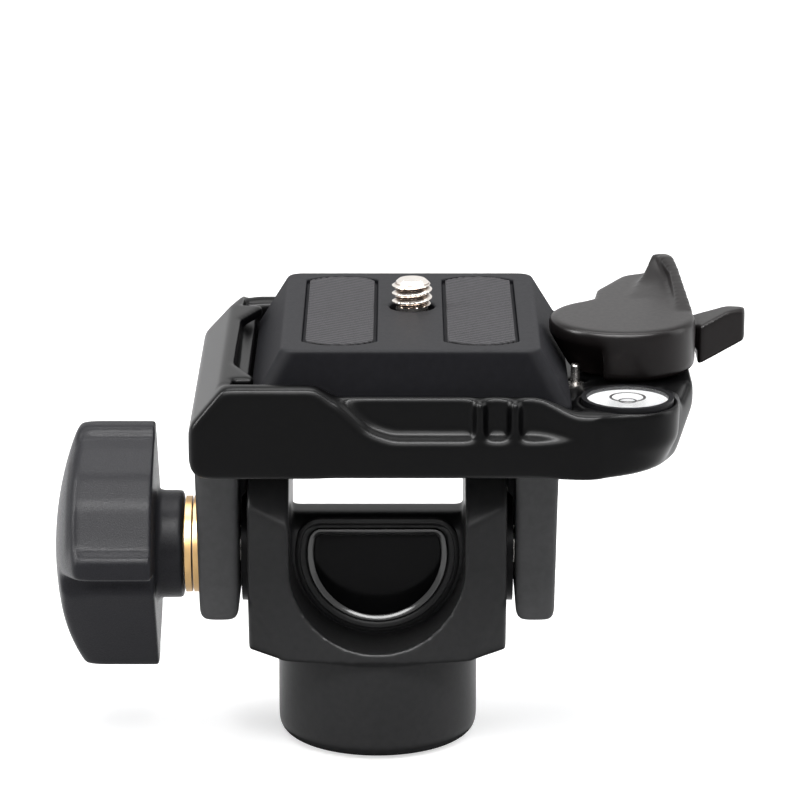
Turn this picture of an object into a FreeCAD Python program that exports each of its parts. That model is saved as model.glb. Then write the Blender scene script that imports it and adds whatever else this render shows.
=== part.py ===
import FreeCAD, Part
import math
import os

# Tilt head with a quick-release plate.
# Millimetres. The origin is the centre of the base's bottom face, +Z is up,
# +X points at the quick-release lever and -Y is the front.

V = FreeCAD.Vector
os.makedirs("parts", exist_ok=True)

# Spaces between pieces
GAP = 0.3                 # between pieces that move past each other
RUN = 0.05                # radial, a shaft that turns in its bore
SEAT = 0.02               # radial, a piece that is held in its seat
SPRING_SPACE = 0.05       # at each end of a spring

# Base casting
AXIS_Z = 31.0             # tilt axis above the bottom face
COLLAR_R = 15.9
COLLAR_FOOT = 2.4         # rounding of the collar's bottom edge
BLOCK_BOTTOM = 16.2
BLOCK_HALF_X = 20.4
BLOCK_HALF_Y = 17.0       # also the radius of the cheeks' round tops
BLOCK_BOW_R = 62.0        # radius of the slightly bowed front and back
FACET_X = 7.3
FACET_Y = 7.7
FACET_Z = 19.8
BOWL_R = 13.8             # round recess in front and back, and half the fork's slot
BOWL_RISE = 0.8           # its centre above the tilt axis
WEB_HALF = 5.8
WEB_RISE = 6.0            # top of the web above the tilt axis
WEB_ROUND = 4.0
INLAY_R = 11.2
INLAY_RISE = 4.2          # flat top edge of the inlay above the tilt axis
INLAY_THICK = 1.0
INLAY_POCKET = 0.8
INLAY_CORNER = 2.0

# Threaded insert, 3/8 inch 16 thread, drawn at its inner radius
THREAD_R = 3.97
THREAD_LENGTH = 12.7
INSERT_R = 6.3
INSERT_FLANGE_R = 8.0
INSERT_FLANGE = 1.2

# Tilt clamp
BOLT_R = 3.0
BOLT_END = 14.0           # how far the bolt reaches into the knob
HEAD_ACROSS = 10.0
HEAD_THICK = 4.0
HEAD_SPACE = 0.1
BUSH_R = 4.4
FRICTION_R = 9.0
FRICTION_THICK = 1.1
THRUST_R = 7.7
THRUST_THICK = 1.3
WAVE_THICK = 1.0
SPOT_DEPTH = 0.3          # spot face on the left leg under the brass washer

# Clamp knob
HUB_R = 8.6
HUB_LENGTH = 4.3
KNOB_R = 20.3
KNOB_GRIP_R = 19.5        # grained face between the two beads of each wing
KNOB_LENGTH = 16.2
KNOB_DOME = 4.2           # how far the end bulges past the rim
KNOB_INSERT_R = 4.6
KNOB_INSERT_LENGTH = 17.0

# Legs of the platform
LEG_THICK = 6.9
LEG_HALF_Y = 13.0
LEG_LENGTH = 29.0
LEG_DRAFT = 0.7           # how much thinner the leg is at its bottom
LEG_ROUND = 1.3

# Platform casting
PLATFORM_RISE = 20.0      # its underside above the tilt axis
PLATFORM_THICK = 9.1      # from the underside to the tray's floor
FLOOR_THICK = 3.0
LEVER_PAD = 0.9           # heights above the tray's floor
CORNER_PAD = 1.3
RAIL_RAISE = 5.5
RAIL_HEIGHT = 3.5
RAIL_SLOPE = 6.4          # drop of the raised part's outer corner, down to the left side
JAW_HEIGHT = 4.9
JAW_STEP = 2.3
POCKET_DROP = 2.7         # the pocket's ledge below the tray's floor
POCKET_DEPTH = 1.2
PLATFORM_FRONT = 32.5     # reach from the tilt axis
PLATFORM_BACK = 31.0
PLATFORM_LEFT = 28.5
PLATFORM_RIGHT = 49.3
RAIL_THICK = 3.5
RAIL_ROUND = 0.9
JAW_THICK = 6.6
JAW_LIP = 2.1             # the jaw's lower wall stands this far inside the upper one
RIB_X = (15.7, 21.0)
RIB_WIDTH = 1.4
TRAY_END = 31.5
SLANT_X = 4.1             # spread of the slanted right end face
SLANT_FROM = -22.0
SLANT_TO = -11.0
NOTCH_START = 4.0         # V groove in that face, measured along it from the front
NOTCH_LOW = 6.1
NOTCH_END = 12.8
NOTCH_DEPTH = 2.5
NOTCH_REACH = 5.0
UNDER_WALL = 3.0
UNDER_HALF_X = 18.5
UNDER_RIB = 2.0
UNDER_SIDE = 4.1          # the right side slants inwards towards the bottom

# Hooks of the fixed jaw
HOOK_REACH = 3.25         # from the jaw's wall
HOOK_THICK = 1.8
HOOK_LENGTH = 9.4
HOOK_END = 1.4
HOOK_FRONT = 24.3
HOOK_BACK = 21.5

# Quick-release plate
PLATE_HEIGHT = 9.3
PLATE_MIDDLE_X = 5.2
PLATE_MIDDLE_Y = -0.8
PLATE_WIDTH = 39.4
PLATE_LENGTH = 49.6
PLATE_FLANGE = 0.8        # height of the upright edge under the bevels
BEVEL_X = 0.577           # how far the side bevels spread for each mm they drop
BEVEL_Y = 0.353
PLATE_CORNER = 2.2
PAD_WIDTH = 10.8
PAD_LENGTH = 43.2
PAD_ARCH = 2.2
PAD_THICK = 1.0
PAD_POCKET = 0.9
PAD_SPACING = 21.8
PLATE_PAD_Y = -0.4
PAD_GROOVE = 0.35
PLATE_UNDER = 1.6
PLATE_RIM = 3.0           # width of the plate's feet around its hollows

# Camera screw, 1/4 inch 20 thread
SCREW_Y = 2.0
SCREW_R = 3.175
SCREW_RISE = 4.4
SCREW_TIP = 0.9
SCREW_START = 0.1         # the thread starts this far above the plate
SCREW_NECK_R = 2.5
SCREW_HEAD_R = 6.6
SCREW_HEAD = 2.4
SCREW_SPACE = 0.35
SCREW_SLOT = 1.6
SCREW_SLOT_DEPTH = 1.3
RING_THICK = 0.7
RING_BITE = 0.5
RING_WIDTH = 2.2
RING_LIFT = 0.6           # the ring above the plate's seat

# Quick-release lever
DRUM_X = 38.5
DRUM_Y = -2.0
DRUM_R = 11.5
DRUM_HEIGHT = 7.9
DRUM_ROUND = 0.8
CAM_OFFSET = 5.0          # from the drum's centre to the pivot
CAM_ANGLE = 60.0          # degrees that the pivot lies to the front of the +X direction
CAM_HEIGHT = 5.6          # of the bevel on the cam's side, above the drum's bottom
CAM_FROM = 120.0          # degrees of the sector that is bevelled
CAM_TO = 252.0
PIVOT_R = 2.3
PIVOT_BOSS_R = 4.2
PIVOT_BOSS = 2.1
PIVOT_IN_LEVER = 4.2
PIVOT_TAIL = 0.8
HANDLE_THICK = 3.0
HANDLE_RISE = 3.2         # the tip above the drum's top
HANDLE_SIDE = 11.3        # right side of the grip, from the drum's centre
HANDLE_BACK = 10.1        # its right side near the tip
HANDLE_LENGTH = 29.6      # the tip behind the drum's centre
RIM_WIDTH = 2.4
CLIP_THICK = 0.8
WASHER_R = 3.8
CLIP_R = 3.4
CLIP_BITE = 0.5
LEVER_SPRING_R = 4.15
LEVER_SPRING_WIRE = 0.6
LEVER_SPRING_LENGTH = 3.0
LEVER_SPRING_SPACE = 0.3

# Safety catch on the lever
CATCH_PIN_DX = 8.3        # its pivot, from the drum's centre
CATCH_PIN_DY = 11.4
CATCH_PIN_R = 1.2
CATCH_PIN_IN = 1.6        # how far the pin reaches into the grip
CATCH_THICK = 3.5
CATCH_RISE = 2.1          # the finger's top above the arm
CATCH_DROP = 2.7          # the finger's root below the arm
CATCH_TIP_RISE = 0.6      # the underside of its tip above the arm's
CATCH_SIDE = 1.0          # the finger starts this far outside the grip
CATCH_REACH = 8.4
CATCH_CLIP = 0.6
CATCH_CLIP_R = 2.3
CATCH_CLIP_BITE = 0.3
CATCH_TAIL = 0.2          # the pin's end past its clip
CATCH_NOSE = 5.4          # from the pivot to the end that the spring pushes
CATCH_FACE = 1.3          # its face there, behind the pivot
CATCH_SPRING_DX = 3.9     # from the drum's centre
CATCH_SPRING_R = 0.95
CATCH_SPRING_WIRE = 0.3
CATCH_SPRING_SEAT = 8.3   # bottom of the spring's pocket in the drum
CATCH_SPRING_SPACE = 0.1

# Spring pin that holds the lever open while the plate is out
HOLD_BACK = 7.4           # in front of the drum's centre
HOLD_GAP = 0.4            # between its thin end and the plate's flange
HOLD_R = 1.7
HOLD_NIB_R = 0.7
HOLD_NIB = 3.2
HOLD_COLLAR_R = 2.5
HOLD_COLLAR = 0.8
HOLD_TAIL = 1.0
HOLD_STEM = 5.0           # from its collar's top to its shoulder
HOLD_BORE_R = 2.8
HOLD_TRAVEL = 2.0
HOLD_PLUG = 1.2
HOLD_BOSS_R = 4.4
HOLD_SPRING_R = 2.15
HOLD_SPRING_WIRE = 0.35

# Round bubble level
BUBBLE_X = 38.4
BUBBLE_Y = -22.9
BUBBLE_CUP_R = 7.1
BUBBLE_DEPTH = 5.3
BUBBLE_CUP_WALL = 0.8
BUBBLE_CUP_FLOOR = 1.0
BUBBLE_RIM = 0.3          # how far the cup stands above the corner
BUBBLE_ROOM = 0.9         # depth of the liquid
BUBBLE_LENS = 0.6
BUBBLE_SUNK = 0.1
AIR_R = 1.3
AIR_FLAT = 0.28

# Places that follow from the sizes above
LEG_INNER = BLOCK_HALF_X + FRICTION_THICK + GAP
LEG_OUTER = LEG_INNER + LEG_THICK
LEG_OUTER_AXIS = LEG_OUTER - LEG_DRAFT * PLATFORM_RISE / LEG_LENGTH
SPOT_X = -LEG_OUTER_AXIS + SPOT_DEPTH
WAVE_X = SPOT_X - THRUST_THICK - GAP
HUB_X = WAVE_X - WAVE_THICK - GAP
KNOB_X = HUB_X - HUB_LENGTH
HEAD_X = LEG_OUTER_AXIS - HEAD_THICK - GAP
FLOOR_BOTTOM = AXIS_Z + PLATFORM_RISE
LEG_BOTTOM = FLOOR_BOTTOM - LEG_LENGTH
TRAY_Z = FLOOR_BOTTOM + PLATFORM_THICK
UNDER_TOP = TRAY_Z - FLOOR_THICK
LEVER_PAD_Z = TRAY_Z + LEVER_PAD
CORNER_PAD_Z = TRAY_Z + CORNER_PAD
CORNER_LEVEL = CORNER_PAD_Z + BUBBLE_RIM
RAIL_RAISED = TRAY_Z + RAIL_RAISE
RAIL_MID = TRAY_Z + RAIL_HEIGHT
JAW_TOP = TRAY_Z + JAW_HEIGHT
POCKET_LEDGE = TRAY_Z - POCKET_DROP
FRONT_Y = -PLATFORM_FRONT
BACK_Y = PLATFORM_BACK
LEFT_X = -PLATFORM_LEFT
RIGHT_X = PLATFORM_RIGHT
JAW_INNER = LEFT_X + JAW_THICK
JAW_SEAT = JAW_INNER + JAW_LIP
TRAY_FRONT = FRONT_Y + RAIL_THICK
TRAY_BACK = BACK_Y - RAIL_THICK
PLATE_SEAT = TRAY_Z + GAP
PLATE_TOP = PLATE_SEAT + PLATE_HEIGHT
FLANGE_TOP = PLATE_SEAT + PLATE_FLANGE
PLATE_LEFT = PLATE_MIDDLE_X - PLATE_WIDTH / 2
PLATE_RIGHT = PLATE_MIDDLE_X + PLATE_WIDTH / 2
PLATE_FRONT = PLATE_MIDDLE_Y - PLATE_LENGTH / 2
PLATE_BACK = PLATE_MIDDLE_Y + PLATE_LENGTH / 2
FLANGE_LEFT = PLATE_LEFT - BEVEL_X * (PLATE_TOP - FLANGE_TOP)
FLANGE_RIGHT = PLATE_RIGHT + BEVEL_X * (PLATE_TOP - FLANGE_TOP)
FLANGE_FRONT = PLATE_FRONT - BEVEL_Y * (PLATE_TOP - FLANGE_TOP)
FLANGE_BACK = PLATE_BACK + BEVEL_Y * (PLATE_TOP - FLANGE_TOP)
SCREW_X = PLATE_MIDDLE_X + 0.3
RING_Z = PLATE_SEAT + RING_LIFT
SCREW_HEAD_Z = RING_Z + RING_THICK + GAP
PIVOT_X = DRUM_X + CAM_OFFSET * math.cos(math.radians(CAM_ANGLE))
PIVOT_Y = DRUM_Y - CAM_OFFSET * math.sin(math.radians(CAM_ANGLE))
DRUM_BOTTOM = LEVER_PAD_Z + GAP
DRUM_TOP = DRUM_BOTTOM + DRUM_HEIGHT
CAM_TOP = DRUM_BOTTOM + CAM_HEIGHT
HANDLE_BOTTOM = DRUM_TOP - HANDLE_THICK
HANDLE_TIP_Z = DRUM_TOP + HANDLE_RISE
WASHER_TOP = UNDER_TOP - PIVOT_BOSS - GAP
CLIP_Z = WASHER_TOP - 2 * CLIP_THICK
CATCH_PIN_X = DRUM_X + CATCH_PIN_DX
CATCH_PIN_Y = DRUM_Y + CATCH_PIN_DY
CATCH_TOP = HANDLE_BOTTOM - GAP
CATCH_BOTTOM = CATCH_TOP - CATCH_THICK
CATCH_OUTER = DRUM_X + HANDLE_SIDE + CATCH_SIDE
CATCH_CLIP_Z = CATCH_BOTTOM - GAP - CATCH_CLIP
CATCH_SPRING_X = DRUM_X + CATCH_SPRING_DX
CATCH_SPRING_Z = (CATCH_BOTTOM + CATCH_TOP) / 2
HOLD_X = FLANGE_RIGHT + HOLD_GAP + HOLD_NIB_R
HOLD_Y = DRUM_Y - HOLD_BACK
HOLD_SHOULDER = PLATE_SEAT - GAP
HOLD_TOP = HOLD_SHOULDER + HOLD_NIB
HOLD_COLLAR_Z = HOLD_SHOULDER - HOLD_STEM - HOLD_COLLAR
HOLD_BORE_TOP = HOLD_COLLAR_Z + HOLD_COLLAR + HOLD_TRAVEL + GAP
BUBBLE_CUP_BOTTOM = CORNER_LEVEL - BUBBLE_DEPTH
DIAL_TOP = CORNER_LEVEL - BUBBLE_LENS - BUBBLE_ROOM


def box(x0, x1, y0, y1, z0, z1):
    return Part.makeBox(x1 - x0, y1 - y0, z1 - z0, V(x0, y0, z0))


def rod(radius, start, end):
    """Cylinder from one point to another."""
    line = end - start
    return Part.makeCylinder(radius, line.Length, start, line)


def upright(radius, x, y, z0, z1):
    return rod(radius, V(x, y, z0), V(x, y, z1))


def across(radius, x0, x1):
    """Cylinder on the tilt axis."""
    return rod(radius, V(x0, 0, AXIS_Z), V(x1, 0, AXIS_Z))


def tube_across(outer, inner, x0, x1):
    return across(outer, x0, x1).cut(across(inner, x0 - 1, x1 + 1))


def tube_upright(outer, inner, x, y, z0, z1):
    return upright(outer, x, y, z0, z1).cut(upright(inner, x, y, z0 - 1, z1 + 1))


def unit(a, b):
    length = math.hypot(b[0] - a[0], b[1] - a[1])
    return (b[0] - a[0]) / length, (b[1] - a[1]) / length


def outline(corners, place):
    """Closed wire through corners (u, v, radius), with each corner rounded to its radius."""
    edges = []
    starts = []
    ends = []
    middles = []
    count = len(corners)
    for i in range(count):
        before = corners[i - 1]
        here = corners[i]
        after = corners[(i + 1) % count]
        back = unit(here, before)
        ahead = unit(here, after)
        turn = math.acos(max(-1.0, min(1.0, back[0] * ahead[0] + back[1] * ahead[1])))
        if here[2] == 0:
            starts.append(here[:2])
            ends.append(here[:2])
            middles.append(None)
            continue
        reach = here[2] / math.tan(turn / 2)
        to_centre = here[2] / math.sin(turn / 2)
        along = (back[0] + ahead[0], back[1] + ahead[1])
        size = math.hypot(along[0], along[1])
        near = (to_centre - here[2]) / size
        starts.append((here[0] + back[0] * reach, here[1] + back[1] * reach))
        ends.append((here[0] + ahead[0] * reach, here[1] + ahead[1] * reach))
        middles.append((here[0] + along[0] * near, here[1] + along[1] * near))
    for i in range(count):
        if middles[i] is not None:
            points = [place(*p) for p in (starts[i], middles[i], ends[i])]
            edges.append(Part.Arc(*points).toShape())
        following = starts[(i + 1) % count]
        if math.hypot(following[0] - ends[i][0], following[1] - ends[i][1]) > 1e-6:
            edges.append(Part.LineSegment(place(*ends[i]), place(*following)).toShape())
    return Part.Wire(Part.__sortEdges__(edges))


def placed(x, y, wide, long, points):
    """Corners given as shares of a width and a length, set around a point."""
    return [(x + wide * u, y + long * v, wide * r) for u, v, r in points]


def prism_z(corners, z0, z1):
    """Outline in plan, raised from z0 to z1."""
    wire = outline(corners, lambda x, y: V(x, y, z0))
    return Part.Face(wire).extrude(V(0, 0, z1 - z0))


def prism_y(corners, y0, y1):
    """Outline of x and z, drawn out from y0 to y1."""
    wire = outline(corners, lambda x, z: V(x, y0, z))
    return Part.Face(wire).extrude(V(0, y1 - y0, 0))


def prism_x(corners, x0, x1):
    """Outline of y and z, drawn out from x0 to x1."""
    wire = outline(corners, lambda y, z: V(x0, y, z))
    return Part.Face(wire).extrude(V(x1 - x0, 0, 0))


def beyond_plane(a, b, c, away):
    """Thick slab on the far side of the plane through three points, to cut a facet with."""
    middle = (a + b + c) * (1 / 3)
    points = [middle + (p - middle) * 6 for p in (a, b, c)]
    face = Part.Face(Part.makePolygon(points + [points[0]]))
    normal = (b - a).cross(c - a)
    normal.normalize()
    if normal.dot(away - middle) < 0:
        normal = normal * -1
    return face.extrude(normal * 30)


def mirrored_x(shape):
    return shape.mirror(V(0, 0, 0), V(1, 0, 0))


def mirrored_y(shape):
    return shape.mirror(V(0, 0, 0), V(0, 1, 0))


def spring(radius, wire, start, end):
    """Coil spring drawn plainly, as a sleeve that fills the place of its turns."""
    outer = rod(radius + wire / 2, start, end)
    return outer.cut(rod(radius - wire / 2, start, end))


def round_edges(shape, radius, chosen):
    edges = [edge for edge in shape.Edges if chosen(edge)]
    return shape.makeFillet(radius, edges)


def whole(shape):
    """The one solid of a shape, with its leftover seams cleaned away."""
    clean = shape.removeSplitter()
    return clean.Solids[0] if len(clean.Solids) == 1 else clean


def save(shape, name):
    solid = whole(shape)
    if not solid.isValid() or len(solid.Solids) < 1:
        print("not valid:", name)
    print(f"{name:28s} solids {len(solid.Solids)}  volume {solid.Volume:10.2f}")
    solid.exportStep(f"parts/{name}.step")


# Base

def base_block():
    """Fork block: upright sides, cheeks rounded about the tilt axis, bowed front and back."""
    low = box(-BLOCK_HALF_X, BLOCK_HALF_X, -BLOCK_HALF_Y, BLOCK_HALF_Y, BLOCK_BOTTOM, AXIS_Z)
    block = low.fuse(across(BLOCK_HALF_Y, -BLOCK_HALF_X, BLOCK_HALF_X))
    bow_y = BLOCK_BOW_R - BLOCK_HALF_Y
    for side in (-1, 1):
        block = block.common(upright(BLOCK_BOW_R, 0, side * bow_y, 0, 2 * AXIS_Z))
    corner = V(BLOCK_HALF_X, -BLOCK_HALF_Y, BLOCK_BOTTOM)
    facet = beyond_plane(corner + V(-FACET_X, 0, 0), corner + V(0, FACET_Y, 0),
                         corner + V(0, 0, FACET_Z), corner)
    for cutter in (facet, mirrored_x(facet), mirrored_y(facet), mirrored_x(mirrored_y(facet))):
        block = block.cut(cutter)
    return block


def fork_slot():
    """The round-bottomed slot between the cheeks, right through from front to back."""
    centre = AXIS_Z + BOWL_RISE
    reach = BLOCK_HALF_Y + 1
    round_end = rod(BOWL_R, V(0, -reach, centre), V(0, reach, centre))
    upper = box(-BOWL_R, BOWL_R, -reach, reach, centre, centre + BLOCK_HALF_Y + 5)
    return round_end.fuse(upper)


def web():
    """Wall across the slot that the clamp bolt runs through."""
    low = BLOCK_BOTTOM + 0.5
    top = AXIS_Z + WEB_RISE
    corners = [(-WEB_HALF, low, 0), (WEB_HALF, low, 0),
               (WEB_HALF, top, WEB_ROUND), (-WEB_HALF, top, WEB_ROUND)]
    return prism_x(corners, -BOWL_R - 0.5, BOWL_R + 0.5)


def inlay_shape(radius, rise, y0, y1, corner):
    """Disc about the tilt axis with a flat top edge."""
    half = math.sqrt(radius ** 2 - rise ** 2)
    disc = rod(radius, V(0, y0, AXIS_Z), V(0, y1, AXIS_Z))
    disc = disc.cut(box(-radius, radius, y0 - 1, y1 + 1, AXIS_Z + rise, AXIS_Z + 2 * radius))

    def top_corner(edge):
        middle = edge.CenterOfMass
        along_y = abs(edge.BoundBox.YLength - abs(y1 - y0)) < 1e-4
        return along_y and abs(abs(middle.x) - half) < 0.01 and middle.z > AXIS_Z
    return round_edges(disc, corner, top_corner)


def base_casting():
    collar = upright(COLLAR_R, 0, 0, 0, BLOCK_BOTTOM + 0.5)
    collar = round_edges(collar, COLLAR_FOOT, lambda edge: edge.BoundBox.ZMax < 0.01)
    casting = collar.fuse(base_block()).cut(fork_slot()).fuse(web())
    casting = casting.cut(across(BOLT_R + 2 * GAP - 0.2, -BLOCK_HALF_X - 1, BLOCK_HALF_X + 1))
    for side in (-1, 1):
        casting = casting.cut(across(BUSH_R, side * BOWL_R, side * (BLOCK_HALF_X + 1)))
    casting = casting.cut(upright(INSERT_R, 0, 0, -1, THREAD_LENGTH))
    casting = casting.cut(upright(INSERT_FLANGE_R, 0, 0, -1, INSERT_FLANGE))
    pocket = inlay_shape(INLAY_R + SEAT, INLAY_RISE + SEAT, -WEB_HALF - 1,
                         -WEB_HALF + INLAY_POCKET, INLAY_CORNER)
    return casting.cut(pocket)


def base_thread_insert():
    body = upright(INSERT_R, 0, 0, 0, THREAD_LENGTH)
    body = body.fuse(upright(INSERT_FLANGE_R, 0, 0, 0, INSERT_FLANGE))
    return body.cut(upright(THREAD_R, 0, 0, -1, THREAD_LENGTH + 1))


def inlay_disc():
    back = -WEB_HALF + INLAY_POCKET
    disc = inlay_shape(INLAY_R, INLAY_RISE, back - INLAY_THICK, back, INLAY_CORNER)
    return round_edges(disc, 0.3, lambda edge: edge.BoundBox.YMax < back - INLAY_THICK + 0.01)


def tilt_bush(side):
    ends = sorted((side * BOWL_R, side * BLOCK_HALF_X))
    return tube_across(BUSH_R, BOLT_R + RUN, ends[0], ends[1])


def friction_washer(side):
    ends = sorted((side * BLOCK_HALF_X, side * (BLOCK_HALF_X + FRICTION_THICK)))
    return tube_across(FRICTION_R, BOLT_R + 2 * GAP, ends[0], ends[1])


# Tilt clamp

def hexagon(across_flats, x0, x1):
    radius = across_flats / math.sqrt(3)
    corners = []
    for i in range(6):
        angle = math.radians(60 * i + 30)
        corners.append((radius * math.cos(angle), AXIS_Z + radius * math.sin(angle), 0))
    return prism_x(corners, x0, x1)


def clamp_bolt():
    end = HUB_X - BOLT_END
    shank = across(BOLT_R, end, HEAD_X)
    shank = shank.makeChamfer(0.8, [e for e in shank.Edges if e.BoundBox.XMax < end + 0.01])
    return shank.fuse(hexagon(HEAD_ACROSS, HEAD_X, HEAD_X + HEAD_THICK))


def thrust_washer():
    return tube_across(THRUST_R, BOLT_R + SEAT, SPOT_X - THRUST_THICK, SPOT_X)


def spacer_washer():
    return tube_across(THRUST_R, BOLT_R + RUN, WAVE_X - WAVE_THICK, WAVE_X)


def knob_section(radius):
    """Cross-section of the two-winged knob as (y, z) corners; half of it, then turned over."""
    half = [(0.8, radius, 0.6), (-2.2, radius - 0.1, 1.2)]
    for degrees in (110, 127, 144, 161):
        angle = math.radians(degrees)
        half.append((KNOB_GRIP_R * math.cos(angle), KNOB_GRIP_R * math.sin(angle), 9.0))
    half.append((-radius, 3.0, 0.8))
    half.append((-radius, 0.1, 0.9))
    half.append((-11.0, -1.8, 1.2))
    half.append((-12.0, -4.4, 1.0))
    turned = [(-y, -z, r) for y, z, r in half]
    return [(y, AXIS_Z + z, r) for y, z, r in half + turned]


def clamp_knob():
    wings = prism_x(knob_section(KNOB_R), KNOB_X - KNOB_LENGTH, KNOB_X)
    rim_x = KNOB_X - KNOB_LENGTH + KNOB_DOME
    dome_r = (KNOB_R ** 2 + KNOB_DOME ** 2) / (2 * KNOB_DOME)
    ball = Part.makeSphere(dome_r, V(rim_x - KNOB_DOME + dome_r, 0, AXIS_Z))
    wings = wings.common(ball)
    knob = wings.fuse(across(HUB_R, KNOB_X - 1, HUB_X))
    knob = round_edges(knob, 1.0, lambda edge: on_circle(edge, KNOB_X, HUB_R))
    return knob.cut(across(KNOB_INSERT_R, HUB_X - KNOB_INSERT_LENGTH, HUB_X + 1))


def on_circle(edge, x, radius):
    bounds = edge.BoundBox
    flat = abs(bounds.XMin - x) < 0.01 and abs(bounds.XMax - x) < 0.01
    return flat and abs(bounds.ZLength - 2 * radius) < 0.05


def knob_insert():
    return tube_across(KNOB_INSERT_R, BOLT_R + RUN, HUB_X - KNOB_INSERT_LENGTH, HUB_X)


# Platform

def plan_outline():
    """Outline of the platform seen from above."""
    return [(LEFT_X, FRONT_Y, 1.6), (RIGHT_X - 8.8, FRONT_Y, 15.0),
            (RIGHT_X - SLANT_X, SLANT_FROM, 0.8), (RIGHT_X, SLANT_TO, 3.0), (RIGHT_X, 20.0, 3.0),
            (RIGHT_X - 4.3, BACK_Y, 3.0), (LEFT_X, BACK_Y, 1.6)]


def front_profile():
    """Outline of the platform seen from the front."""
    return [(LEFT_X, FLOOR_BOTTOM, 2.6), (RIGHT_X - 3.4, FLOOR_BOTTOM, 1.5),
            (RIGHT_X, FLOOR_BOTTOM + 6.0, 2.0), (RIGHT_X, CORNER_PAD_Z, 0),
            (30.2, CORNER_PAD_Z, 4.0), (24.8, RAIL_MID, 4.0), (-6.0, RAIL_MID, 1.2),
            (-9.3, RAIL_RAISED, 1.5), (-23.2, RAIL_RAISED, 1.8), (LEFT_X, RAIL_RAISED - RAIL_SLOPE, 2.4)]


def platform_blank():
    """Outer form of the platform before its hollows, with its front edges rounded."""
    plan = prism_z(plan_outline(), FLOOR_BOTTOM - 1, RAIL_RAISED + 1)
    blank = plan.common(prism_y(front_profile(), FRONT_Y - 1, BACK_Y + 1))

    def front_rim(edge):
        bounds = edge.BoundBox
        flat = bounds.YMax < FRONT_Y + 0.01
        return flat and bounds.XLength > 0.3
    return round_edges(blank, RAIL_ROUND, front_rim)


def tray_cuts():
    """Spaces above the floor: the plate's tray, the lever's bay, the low back rail."""
    top = RAIL_RAISED + RAIL_HEIGHT + JAW_HEIGHT
    bay_left = TRAY_END - 1
    cuts = [box(JAW_INNER, TRAY_END, TRAY_FRONT, TRAY_BACK, TRAY_Z + JAW_STEP, top)]
    cuts.append(box(JAW_SEAT, TRAY_END, TRAY_FRONT, TRAY_BACK, TRAY_Z, top))
    cuts.append(box(LEFT_X - 1, RIGHT_X + 1, TRAY_FRONT, BACK_Y + 1, JAW_TOP, top))
    cuts.append(box(bay_left, RIGHT_X + 1, DRUM_Y - DRUM_R - 2.5, TRAY_BACK, LEVER_PAD_Z, top))
    cuts.append(box(JAW_INNER, -5.0, TRAY_BACK - 1, BACK_Y + 1, RAIL_MID, top))
    return cuts


def back_corner_facet():
    """Slanted cut across the jaw's back left top corner."""
    corner = V(LEFT_X, BACK_Y, JAW_TOP)
    return beyond_plane(corner + V(7.2, 0, 0), corner + V(0, -28, 0),
                        corner + V(0, 0, -7.5), corner)


def rail_pocket():
    """Shallow field in the front rail under an S-shaped edge, with two ribs left standing."""
    corners = [(-9.6, RAIL_RAISED + 1, 0), (-6.3, RAIL_MID, 2.0), (-1.0, POCKET_LEDGE + 1.2, 4.5),
               (2.6, POCKET_LEDGE, 5.0), (33.0, POCKET_LEDGE, 0), (33.0, RAIL_RAISED + 1, 0)]
    field = prism_y(corners, FRONT_Y - 1, FRONT_Y + POCKET_DEPTH)
    for x in RIB_X:
        rib = box(x - RIB_WIDTH / 2, x + RIB_WIDTH / 2, FRONT_Y - 2, FRONT_Y + POCKET_DEPTH + 1,
                  POCKET_LEDGE - 1, RAIL_RAISED + RAIL_HEIGHT)
        field = field.cut(rib)
    return field


def corner_notch():
    """V groove across the slanted end face, between the corner and the lever's bay."""
    along = V(SLANT_X, SLANT_TO - SLANT_FROM, 0)
    along.normalize()
    inward = V(-along.y, along.x, 0)
    outside = V(RIGHT_X - SLANT_X, SLANT_FROM, CORNER_PAD_Z) - inward * 2
    points = [outside + along * NOTCH_START + V(0, 0, 0.5)]
    points.append(outside + along * NOTCH_LOW - V(0, 0, NOTCH_DEPTH))
    points.append(outside + along * NOTCH_END + V(0, 0, 0.5))
    face = Part.Face(Part.makePolygon(points + [points[0]]))
    return face.extrude(inward * (NOTCH_REACH + 2))


def underside_cuts():
    """Hollows under the floor, between and beside the legs."""
    cuts = []
    front = FRONT_Y + UNDER_WALL
    back = BACK_Y - UNDER_WALL
    rib = LEG_HALF_Y
    low = FLOOR_BOTTOM - 1
    bays = ((front, -rib - UNDER_RIB / 2), (-rib + UNDER_RIB / 2, rib - UNDER_RIB / 2),
            (rib + UNDER_RIB / 2, back))
    for y0, y1 in bays:
        corners = [(-UNDER_HALF_X, y0, 2), (UNDER_HALF_X, y0, 2),
                   (UNDER_HALF_X, y1, 2), (-UNDER_HALF_X, y1, 2)]
        cuts.append(prism_z(corners, low, UNDER_TOP))
    side = LEG_OUTER + 0.8
    right = RIGHT_X - UNDER_SIDE
    corners = [(side, PIVOT_Y - 6.0, 2), (right, PIVOT_Y - 6.0, 4), (right, 20.0, 3),
               (right - 4.0, back, 2), (side, back, 2)]
    cuts.append(prism_z(corners, low, UNDER_TOP))
    return cuts


def leg(side):
    """Leg that reaches down beside the fork, thinner towards its bottom."""
    inner = LEG_INNER
    corners = [(inner, LEG_BOTTOM, LEG_ROUND), (LEG_OUTER - LEG_DRAFT, LEG_BOTTOM, LEG_ROUND),
               (LEG_OUTER, FLOOR_BOTTOM + 0.5, 0), (inner, FLOOR_BOTTOM + 0.5, 0)]
    shape = prism_y(corners, -LEG_HALF_Y, LEG_HALF_Y)
    rounded = round_edges(shape, 0.8, lambda edge: leg_rim(edge))
    return rounded if side > 0 else mirrored_x(rounded)


def leg_rim(edge):
    bounds = edge.BoundBox
    at_end = abs(abs(bounds.YMin) - LEG_HALF_Y) < 0.01 and bounds.YLength < 0.01
    return at_end and bounds.ZMin < FLOOR_BOTTOM


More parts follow.
